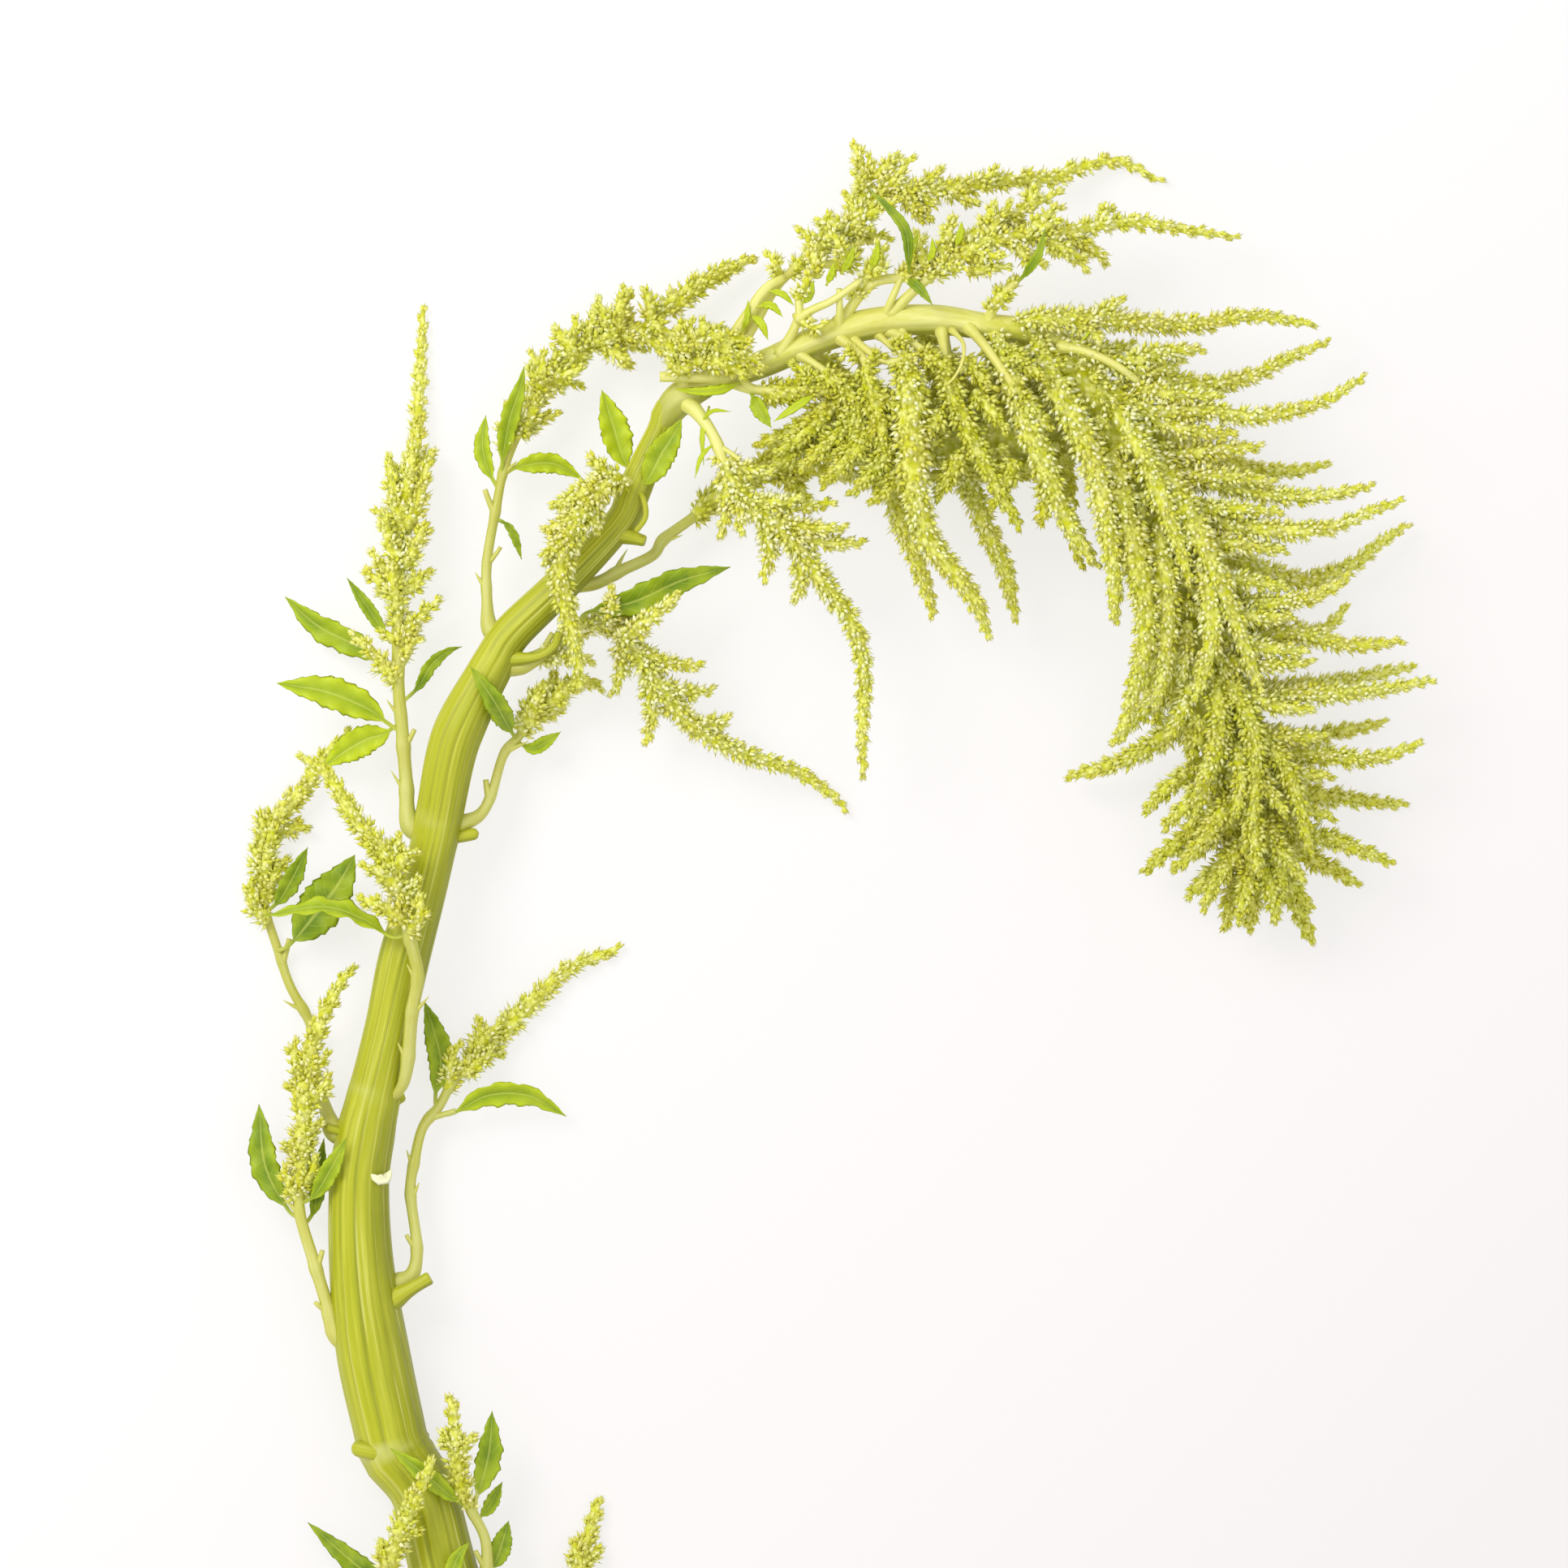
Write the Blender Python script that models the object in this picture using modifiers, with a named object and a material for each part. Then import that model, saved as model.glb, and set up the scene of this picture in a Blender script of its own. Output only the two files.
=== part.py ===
"""A cut amaranth stem with its arched seed head, lying on a surface.

The plant lies in the XY plane with +Z up. Places are millimetres on a drawing whose X runs to the
right, whose Y runs up the stem and whose Z is the height above the surface. The origin is the
middle of the plant's outline, on the surface.
"""

import math

import bmesh
import bpy
import numpy as np

MM = 0.001
WELD_DISTANCE = 0.001 * MM

# The drawing's point that becomes the origin.
ORIGIN_X = 259.6
ORIGIN_Y = 200.1

# The gap between two neighbouring pieces.
GAP = 0.35

# A route's curve between two of its given points has this many steps.
CURVE_STEPS = 12
FINE_GAP = 1.0
STEEPEST_SINE = 0.05

# Florets on a spike are raised pyramids in rings of four.
RING_SIDES = 4
RING_GAP = 10.0
RING_TURN = 0.25
SPIKE_FULLNESS = 1.22
PEAK = 1.38
VALLEY = 0.72
PEAK_LEAN = 0.5
TIP_LENGTH = 2.4
TIP_REACH = 0.5

# A spike fills out over its foot and thins to its tip.
FOOT_FULLNESS = 0.7
FOOT_WIDENING = 2.0
THINNING = 0.5
THINNING_START = 0.15
THINNING_POWER = 1.2

# Side spikes are thinner than the spike that they stand on.
SIDE_SPIKE_SHARE = 0.8
SIDE_RING_GAP = 7.5
SIDE_FOOT_RUN = 0.9
SIDE_FOOT_START = 2.0
SIDE_BEND = 0.12

# Short spikes round a stretch of a branch: out from it and along it, at the tip and half way.
GOLDEN_ANGLE = math.radians(137.5)
CLUSTER_TIP_OUT = 0.78
CLUSTER_TIP_AHEAD = 0.62
CLUSTER_BEND_OUT = 0.45
CLUSTER_BEND_AHEAD = 0.25
CLUSTER_LOWEST_TIP = 2.5

# The dense inside of the head.
CORE_SIDES = 8
CORE_PEAK = 1.12
CORE_VALLEY = 0.9
CORE_RING_GAP = 14.0
CORE_TIP = 0.5

# Bare stalks run on into their spikes and thin to them.
TUBE_SIDES = 6
STALK_GAP = 9.0
STALK_RUN_ON = 6.0
STALK_FOOT = 1.15
STALK_END = 0.9

# Leaves are thin waved blades.
BLADE_THICKNESS = 0.7
BLADE_STATIONS = 4
TOOTH = 0.09
WAVE = 0.45
PETIOLE_HALF_WIDTH = 0.55
BLADE_SHOULDER = 0.8
BLADE_FULLNESS = 0.85
BLADE_TIP = 0.6

# The stem has eight ribs.
STEM_RIBS = 8
RIB_DEPTH = 0.07
STEM_RING_GAP = 22.0
RACHIS_RING_GAP = 17.0
RACHIS_SIDES = 8
STUB_GAP = 5.0
STUB_FOOT = 1.3

STEM_COLOUR = (0.42, 0.50, 0.08, 1.0)
STALK_COLOUR = (0.62, 0.68, 0.26, 1.0)
FLORET_COLOUR = (0.66, 0.72, 0.30, 1.0)
LEAF_COLOUR = (0.20, 0.44, 0.06, 1.0)

# The stem: x, y, z and diameter at each place from the cut end to the arch.
MAIN_STEM = [
    (146.2, -35.0, 10.2, 20.6),
    (136.2, 0.0, 10.8, 20.4),
    (130.2, 23.0, 11.6, 19.8),
    (122.0, 35.5, 12.0, 21.4),
    (119.0, 46.0, 12.3, 21.8),
    (114.5, 67.5, 13.0, 22.0),
    (111.2, 93.0, 14.0, 19.5),
    (110.5, 117.8, 15.0, 18.0),
    (112.6, 134.0, 15.7, 17.6),
    (115.2, 146.0, 16.3, 15.8),
    (120.0, 167.0, 17.2, 14.8),
    (124.5, 188.0, 18.0, 15.4),
    (130.8, 210.8, 19.0, 14.0),
    (135.0, 230.2, 19.8, 14.2),
    (138.8, 250.0, 20.6, 15.0),
    (142.8, 261.2, 21.0, 15.0),
    (152.2, 279.0, 22.0, 12.4),
    (157.8, 288.0, 22.5, 11.8),
    (173.2, 303.0, 23.6, 11.0),
    (190.8, 321.8, 25.0, 9.6),
    (195.5, 332.2, 25.6, 10.2),
    (203.2, 350.0, 26.5, 7.8),
    (206.2, 357.0, 27.0, 8.4),
    (217.2, 364.0, 27.6, 7.6),
]

# Cut petioles and knobs on the stem: route and radius.
STEM_STUBS = {
    "low_knob": ([(117, 35.5, 12.5), (109.8, 35.9, 13.5)], 3.0),
    "right_petiole": ([(116, 85.5, 15.5), (125.5, 87.5, 17.5), (132.5, 89.2, 18.0)], 1.6),
    "left_petiole": ([(108, 133.5, 17.5), (99.8, 136.0, 19.0)], 1.4),
    "right_bump": ([(119, 145.5, 14.5), (124.2, 146.5, 14.0)], 1.8),
    "upper_petiole": ([(136, 226.5, 19.0), (147.5, 225.5, 19.5)], 1.5),
    "hooked_petiole": ([(155, 280, 23), (165, 280.5, 26.6), (170.5, 283.6, 27.4), (172.6, 288.2, 28)], 1.3),
    "high_petiole": ([(189, 319, 25.5), (198.8, 316.2, 27.5)], 1.4),
}

# The arched end of the stem, which the head's spikes grow from.
RACHIS = [
    (217.9, 364.4, 27.6, 7.6),
    (236.0, 371.0, 29.0, 8.4),
    (251.8, 378.0, 30.0, 8.8),
    (267.8, 382.8, 30.0, 9.6),
    (287.2, 384.2, 30.0, 9.2),
    (302.8, 382.2, 30.0, 8.2),
    (318.2, 380.2, 30.0, 7.6),
    (332.5, 373.0, 29.5, 7.4),
    (342.8, 355.0, 29.0, 7.2),
    (351.2, 343.0, 28.0, 7.0),
    (360.8, 320.5, 27.0, 6.2),
    (370.0, 285.5, 25.0, 5.0),
    (375.0, 268.0, 24.0, 4.4),
    (378.8, 250.5, 23.0, 4.2),
    (385.0, 233.0, 22.0, 4.0),
    (392.0, 210.0, 20.0, 3.6),
]

# The dense inner part of the head, which the spikes stand out of: x, y, z and radius.
HEAD_CORES = {
    "outer_core": [
        (318.0, 376.0, 30.0, 5.0),
        (334.0, 364.0, 30.0, 11.0),
        (345.0, 346.0, 30.0, 14.5),
        (355.0, 324.0, 29.5, 15.0),
        (364.0, 300.0, 28.0, 15.0),
        (371.0, 275.0, 26.0, 14.5),
        (378.0, 250.0, 24.0, 13.0),
        (386.0, 228.0, 21.0, 10.5),
        (392.0, 214.0, 18.0, 7.0),
    ],
    "inner_core": [
        (241.0, 350.0, 28.0, 4.0),
        (252.0, 347.0, 28.0, 9.0),
        (266.0, 346.0, 28.0, 13.0),
        (282.0, 348.0, 28.0, 15.5),
        (300.0, 350.0, 28.0, 16.5),
        (318.0, 350.0, 28.5, 15.5),
        (332.0, 344.0, 29.0, 12.0),
    ],
}


def branch(route, radius=3.3, bare=0.0, stalk=1.3, tips=(), cluster=None):
    """One flowering branch: its route, the radius of its spike, the bare part of its length, the
    radius of the bare stalk, the tips of side spikes, and a stretch of short spikes round it."""
    return {"route": route, "radius": radius * SPIKE_FULLNESS, "bare": bare, "stalk": stalk, "tips": tips,
            "cluster": cluster}


def ring_of_spikes(start, end, count, long_first, long_last):
    """A stretch of a branch, as fractions of its length, with short spikes set round it."""
    return {"start": start, "end": end, "count": count, "first": long_first, "last": long_last}


HEAD_BRANCHES = [
    # The crown, over the arch.
    branch([(225, 370.5, 29), (232.5, 383, 30), (240, 395.5, 28), (250, 403.8, 26),
            (262, 413.8, 24), (265.8, 422.3, 22), (268.2, 435.8, 20)], 2.1, 0.42, 1.5,
           [(258, 414, 33), (275, 410, 20), (261, 424, 16), (277, 421, 31)],
           ring_of_spikes(0.55, 0.9, 4, 10, 7)),
    branch([(265.8, 418, 23), (275, 425, 22), (288.2, 424.2, 21), (310, 427.5, 17),
            (325, 428.5, 11), (332.5, 431.8, 7), (345, 433.8, 3.5), (358.8, 427.5, 2)], 2.1, 0.0, 1.3,
           [(281, 435.2, 24), (289.8, 432, 20), (287.2, 415.2, 26), (301, 420, 24)],
           ring_of_spikes(0.05, 0.45, 4, 9, 7)),
    branch([(248.5, 402.5, 26.2), (260, 401.5, 25), (265.2, 409, 27)], 2.1, 0.4),
    branch([(258.5, 383, 31), (268.2, 395, 34), (279.8, 397.5, 36), (290.8, 403.2, 37),
            (302, 411, 37), (315, 418, 34), (327, 424, 29)], 2.1, 0.3, 1.5,
           [(271, 408.5, 38)], ring_of_spikes(0.3, 0.92, 6, 13, 9)),
    branch([(274, 386, 32), (287.5, 398, 38), (305, 408, 40), (325, 410.5, 38),
            (337.5, 413, 34), (350, 414.2, 29), (367.5, 411.8, 23), (382, 409.8, 17)], 2.1, 0.12, 1.5,
           [(335, 399.2, 38), (341, 401, 32)], ring_of_spikes(0.15, 0.66, 6, 13, 8)),
    branch([(304, 383, 31), (307, 390, 35), (313.5, 396.5, 38)], 2.1, 0.2),

    # The outer side, from the top of the arch down to the tip.
    branch([(307.5, 383, 31), (322.5, 384.2, 36), (337.5, 384.2, 36), (355, 383, 34),
            (370, 383, 31), (385, 385.5, 28), (405, 383, 24)], 2.5, 0.05, 1.3,
           [(345, 391, 39), (339, 377, 40)]),
    branch([(324, 379.8, 30), (335.2, 373.8, 34), (352, 367.5, 34), (370, 364.2, 30),
            (385, 366.8, 26), (397.5, 373, 22), (409.5, 378, 18)], 2.5, 0.0, 1.3,
           [(349, 377, 26), (364, 372, 37)]),
    branch([(334, 370.5, 30), (350, 357, 37), (371.8, 356, 39), (382.5, 354.2, 39),
            (395, 355.5, 38), (407.5, 359.2, 36), (420, 366.8, 34)], 2.5),
    branch([(345, 353, 28), (362.5, 345.5, 23), (382.5, 339.2, 18), (397.5, 338, 13),
            (410, 340.5, 9)], 2.5),
    branch([(350, 343, 29), (370, 335.5, 34), (390, 330.5, 35), (405, 330, 34), (422.5, 333, 31)], 2.5),
    branch([(355, 328, 28), (375, 321.8, 36), (395, 319.2, 40), (410, 320.5, 40),
            (422.5, 325.5, 38), (431.2, 328.5, 36)], 2.5),
    branch([(362.5, 318, 27), (380, 310.5, 21), (400, 304.2, 15), (415, 308, 11),
            (425, 315.5, 8), (434.5, 321.8, 5)], 2.5),
    branch([(367, 300.5, 27), (385, 296.8, 36), (400, 298, 39), (410, 301.8, 39), (415, 305.5, 38)], 2.5),
    branch([(370, 293, 26), (387.5, 286.8, 20), (402.5, 286.8, 16), (411.2, 291.8, 14),
            (415, 296.8, 12)], 2.5),
    branch([(371, 285.5, 26), (385, 286.8, 31), (400, 288, 32), (415, 284.2, 30), (432, 285.5, 27)], 2.5),
    branch([(375, 270.5, 24), (395, 270.5, 15), (412.5, 273, 7), (425, 275.5, 3.5), (436.2, 278, 2)], 2.5),
    branch([(374, 270.5, 25), (382.5, 268, 30), (410, 269.2, 31), (425, 270.5, 29),
            (441.2, 273.5, 26)], 2.5),
    branch([(377, 258, 23), (400, 255.5, 11), (415, 258, 4), (427.5, 260.5, 2)], 2.5),
    branch([(379, 250.5, 24), (405, 250.5, 27), (422.5, 249.2, 25), (437.5, 254.2, 22)], 2.5),
    branch([(382, 243, 22), (400, 239.2, 12), (415, 236.8, 5), (433.8, 235, 2)], 2.5),
    branch([(386, 228, 22), (405, 225.5, 25), (417.5, 221.8, 23), (428.8, 216.8, 20)], 2.5),
    branch([(389, 223, 20), (405, 218, 12), (418.8, 210.5, 6)], 2.5),

    # The tip, pointing down and inward.
    branch([(388, 221, 21), (400, 203, 15), (404.2, 193, 9)], 2.7),
    branch([(387.5, 220.5, 22), (386, 205, 15), (385, 196.8, 8)], 2.7),
    branch([(388, 222, 21), (380, 208, 22), (377.5, 196.8, 18)], 2.7),
    branch([(387, 226, 21.4), (372.5, 213, 18), (366.2, 206.8, 12)], 2.7),
    branch([(383, 237, 22), (362.5, 223, 18), (352.5, 214.2, 12)], 2.7),
    branch([(377, 252, 23), (360, 240.5, 28), (352.5, 233, 27)], 2.7),
    branch([(375, 268, 24), (350, 250.5, 18), (328.8, 243.5, 10)], 2.7),
    branch([(371.5, 280, 24.6), (350, 262, 22), (343, 254.2, 16)], 2.7),
    branch([(368, 290, 28), (375, 265, 38), (372, 246, 38), (365, 226, 34)], 2.7),
    branch([(370, 282, 28), (384, 262, 40), (386, 240, 40), (383, 219, 35)], 2.7),
    branch([(374, 270, 26), (393, 250, 37), (400, 234, 37), (403, 220, 33)], 2.7),
    branch([(382, 240, 24), (392, 225, 32), (395, 207, 28)], 2.7),
    branch([(374, 275, 24), (378, 245, 8), (392, 222, 3.5), (396, 206, 2.2)], 2.7),

    # The front, hanging from the arch.
    branch([(319, 379, 31), (325, 363, 40), (335, 343, 47), (340, 323, 49), (342.5, 308, 47),
            (343, 291, 43)], 3.6),
    branch([(345, 350, 30), (343, 336, 42), (350, 308, 47), (352.5, 288, 46), (348.8, 270.5, 42),
            (345, 255.5, 37)], 3.6),
    branch([(356, 330, 28), (357.5, 313, 42), (358.8, 293, 44), (357.5, 275.5, 42),
            (355, 265.5, 39)], 3.5),
    branch([(362, 322, 28), (371, 308, 42), (372.5, 288, 45), (370, 275.5, 43), (367.5, 268, 40)], 3.4),
    branch([(306, 381, 31), (311, 365, 42), (319, 345, 47), (327, 325, 45), (337.5, 308, 39)], 3.5),
    branch([(335, 368, 31), (350, 345, 42), (360, 322, 46), (366, 303, 45)], 3.4),
    branch([(345, 352, 30), (362, 330, 42), (373, 308, 46), (382, 286, 43), (388, 270, 38)], 3.4),
    branch([(277.5, 383, 31), (280, 362, 44), (281, 339.2, 47), (285, 318, 45), (292.5, 308, 42),
            (300, 298, 38), (304.5, 286.8, 33)], 3.6, 0.1),
    branch([(262, 381, 31), (267, 366, 34), (271, 346, 33), (276, 328, 30), (282.5, 310.5, 27),
            (287.5, 293, 22)], 3.2, 0.25, 1.4),
    branch([(290, 383, 30), (295, 358, 30), (299, 332, 27), (305, 318, 24), (310, 305.5, 20),
            (313.2, 291.8, 15)], 3.2, 0.1),

    # The mass under the arch.
    branch([(258, 379, 32), (265.8, 372, 39), (267.8, 364, 42), (271.8, 348, 44), (270, 334, 42)],
           2.7, 0.3),
    branch([(290, 381, 32), (292, 366, 42), (298, 350, 46), (306, 334, 45), (314, 320, 40)],
           2.7, 0.15),
    branch([(300, 381, 30), (307.8, 369.8, 38), (313.8, 358, 36), (322, 340, 32), (329, 322, 28),
            (333, 308, 24)], 2.7, 0.1),
    branch([(222, 366, 28), (232, 362.5, 32), (244.8, 361.8, 36), (260, 363, 38)], 2.7, 0.35),
    branch([(245.5, 374, 31), (255.8, 366.5, 38), (264, 357, 41), (262, 346, 42)], 2.7, 0.3),
    branch([(266, 368, 37), (257, 357, 35), (245, 350, 31), (233, 346, 28)], 2.7, 0.1),

    # The back, lying on the surface.
    branch([(250, 377, 28), (258, 366, 13), (268, 355, 4), (280, 346, 2.2)], 3.2, 0.15),
    branch([(282, 384, 28), (290, 368, 13), (300, 350, 4), (306, 336, 2.2)], 3.3, 0.1),
    branch([(310, 380, 28), (318, 364, 12), (326, 346, 4), (331, 328, 2.2)], 3.3, 0.1),
    branch([(335, 368, 28), (346, 350, 11), (353, 330, 4), (355, 310, 2.2)], 3.3, 0.1),
    branch([(354, 335, 26), (366, 318, 10), (373, 300, 4), (376, 284, 2.2)], 3.3, 0.1),
    branch([(365, 305, 25), (357, 288, 10), (355, 272, 4), (358, 258, 2.2)], 3.2, 0.1),
]

SPRAYS = {
    "spray_left_tall": branch(
        [(133, 225.5, 19.5), (126.2, 229.2, 18.5), (125, 243, 17), (123.8, 258, 16), (122.5, 275.5, 15),
         (122.5, 308, 12), (123.8, 328, 10), (127.5, 343, 8), (128.2, 350.5, 6), (129, 368, 4),
         (130, 389.2, 2)], 2.3, 0.4, 1.4,
        [(107.5, 288, 19), (115, 305.5, 8), (113.8, 313, 16), (115, 326.8, 7), (118.8, 343, 12),
         (135.8, 298.8, 17), (132.5, 320.5, 14), (133.8, 344, 9)]),
    "spray_left_mid": branch(
        [(106.2, 133, 15), (102.5, 135, 14.5), (98.8, 145.5, 8), (95.8, 158, 5), (95, 167.5, 4),
         (88.8, 179.2, 3.4), (85, 190.5, 3.2), (81.2, 203, 3.2), (80.5, 215.5, 3.4), (82, 226, 3.4),
         (87.5, 234, 6), (93.8, 240.5, 7), (98, 248, 7.5), (107.5, 258, 8)], 2.8, 0.56, 1.2,
        [(77.5, 221.8, 7), (79.5, 233, 4), (94.5, 228.5, 4)]),
    "spray_front_mid": branch(
        [(118, 143, 18), (124.5, 150, 23), (127, 170.5, 27.5), (128.8, 183, 30), (126.2, 195.5, 33),
         (123.8, 208, 34), (118.8, 220.5, 34), (110, 230.5, 33), (101.2, 244.2, 32), (92.5, 250.5, 31)],
        2.7, 0.5, 1.2,
        [(129, 213, 36), (112.5, 222.5, 36), (124, 226, 33)]),
    "spray_left_low": branch(
        [(109, 68, 13), (103.8, 71.8, 14), (100, 83, 15.5), (96.2, 95.5, 17), (92.5, 108, 18),
         (92, 116, 18.5), (93, 128, 19.5), (93.8, 138, 20), (95, 158, 20), (98.8, 168, 19),
         (105, 180.5, 17), (109.5, 185.5, 16)], 2.8, 0.42, 1.3,
        [(88, 131, 22), (98.5, 138, 22), (89, 149, 18), (101.5, 158, 21)]),
    "spray_right_low": branch(
        [(117.5, 86.8, 13.5), (122.5, 87.5, 13), (127, 90.5, 12.5), (128.2, 99.2, 12),
         (126.2, 115.5, 11), (127.5, 125.5, 10), (130, 135.5, 9), (135, 142, 8), (140, 150.5, 7),
         (150, 160.5, 5), (162.5, 173, 3.6), (175, 184.2, 2.8), (191.2, 191, 2)], 2.6, 0.54, 1.3,
        [(138, 157.5, 9), (147.5, 169, 6), (154.5, 158.5, 4)]),
    "spray_right_short": branch(
        [(137.5, 228.5, 19), (141.2, 229.2, 18.5), (147.5, 231.8, 17), (151.2, 238, 15.5),
         (155, 250.5, 14), (160, 256.5, 13), (163.5, 262, 12.5), (170, 268, 12), (177.5, 273, 11),
         (186, 271, 10)], 2.5, 0.55, 1.2,
        [(163, 270, 15), (172.5, 263.5, 8), (171, 276, 12)]),
    "spray_right_long": branch(
        [(154, 277.5, 22), (161.2, 278.6, 22), (170, 283, 22), (180, 290, 22), (187.5, 291.5, 22),
         (193.8, 285.5, 21.5), (200, 275.5, 21), (207.5, 265.5, 20), (217.5, 256.8, 18),
         (230, 250.5, 15), (245, 245.5, 9), (255, 239.2, 4.5), (260.8, 233.5, 2)], 2.5, 0.24, 1.4,
        [(196, 297.8, 21), (207.5, 297, 20), (183, 279, 25), (188.8, 268.8, 20), (216.2, 278, 22),
         (220, 270.5, 15), (199, 254.2, 17), (225, 261.8, 18)]),
    "spray_front_hanging": branch(
        [(196.2, 333, 27), (192.5, 335, 32), (186.2, 333, 36), (178, 323, 38), (173, 308, 38),
         (175, 293, 37), (177.5, 283, 35), (179, 271.5, 32)], 3.2, 0.1, 1.3,
        [(168, 319.2, 38), (170, 327.5, 38), (184.5, 319, 38)]),
    "spray_centre_hanging": branch(
        [(210, 359.5, 28), (214.5, 356, 33), (220, 348, 36), (225, 335.5, 38), (232.5, 325.5, 39),
         (242.5, 318, 39), (250, 308, 38), (257.5, 298, 36), (262.5, 291, 35), (266, 278, 33),
         (265.5, 257, 30), (266, 243.2, 27)], 2.5, 0.17, 1.4,
        [(238.5, 337, 40), (247, 329.5, 43), (257, 328, 38), (260.5, 320, 42), (266, 315.5, 38),
         (235, 303.8, 38), (245, 297.2, 36), (221.8, 317.5, 38), (228, 318.5, 43)]),
    "spray_top_left": branch(
        [(157, 286.8, 22.5), (151.2, 289.2, 21), (150, 298, 19), (150, 310.5, 17), (153, 328, 15.5),
         (155, 338, 15), (158.8, 348, 15), (165, 360.5, 15), (170, 366.8, 15), (175, 370.5, 15),
         (182.5, 378, 15), (190, 380.5, 15), (200, 383, 14.5), (205, 388, 14), (217.5, 396.8, 11),
         (232.5, 404.2, 7)], 2.1, 0.4, 1.2,
        [(163.8, 375.5, 13), (171, 377, 18), (183.8, 389.2, 18), (192.5, 395.5, 13), (180, 364.8, 12),
         (172.5, 355.5, 13), (198, 374.5, 13)]),
    "spray_back": branch(
        [(178, 302.5, 23), (184, 303.5, 21), (191.2, 307.2, 19), (201, 312, 17), (204.5, 317, 16),
         (213.8, 324, 13), (219.2, 328.8, 10), (230, 335.5, 6), (245, 339.2, 3.6), (262, 336, 2.2)],
        3.0, 0.45, 1.4,
        [(236, 325, 3), (249, 328, 3), (240, 347, 5)]),
    "spray_arch_short": branch(
        [(212, 361.8, 28), (209.5, 369.2, 33), (211.2, 375.5, 37), (217.5, 377.4, 39), (225, 374, 40),
         (233.2, 367.2, 39)], 2.8, 0.2, 1.3,
        [(206, 377.5, 38), (213, 384.5, 40), (222, 382.5, 41)]),
    "spray_base_right": branch(
        [(143.8, -10.8, 14), (149, -4.5, 16), (149.6, 8, 18), (145, 18, 20), (141.8, 25, 22),
         (140.5, 38, 24), (138.8, 53, 25)], 2.6, 0.5, 1.3, [(145.5, 41, 26), (135.5, 41, 25)]),
    "spray_base_front": branch(
        [(135, -17, 14), (126.2, -13.2, 19), (121, -4.5, 22), (119.5, 0, 23.5), (123, 10.5, 27),
         (127.5, 20.5, 30), (133.8, 34.2, 32)], 2.7, 0.35, 1.3, [(116.5, 8, 26), (129, 12.5, 30)]),
    "spray_base_far": branch(
        [(145, -19.5, 11), (156.2, -19.5, 10), (167.5, -14.5, 8), (176.2, -4.5, 5), (180, 5.5, 3.2),
         (184.2, 20.5, 2.2)], 2.5, 0.45, 1.3, [(176.5, 7.5, 7), (185, 5, 5)]),
}


def leaf(route, width, roll=0.0, fold=0.25):
    """One leaf: its midrib from the petiole's foot to the tip, its widest width, how far it is
    turned about its midrib, and how steeply its halves rise from the midrib."""
    return {"route": route, "width": width, "roll": roll, "fold": fold}


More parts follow.
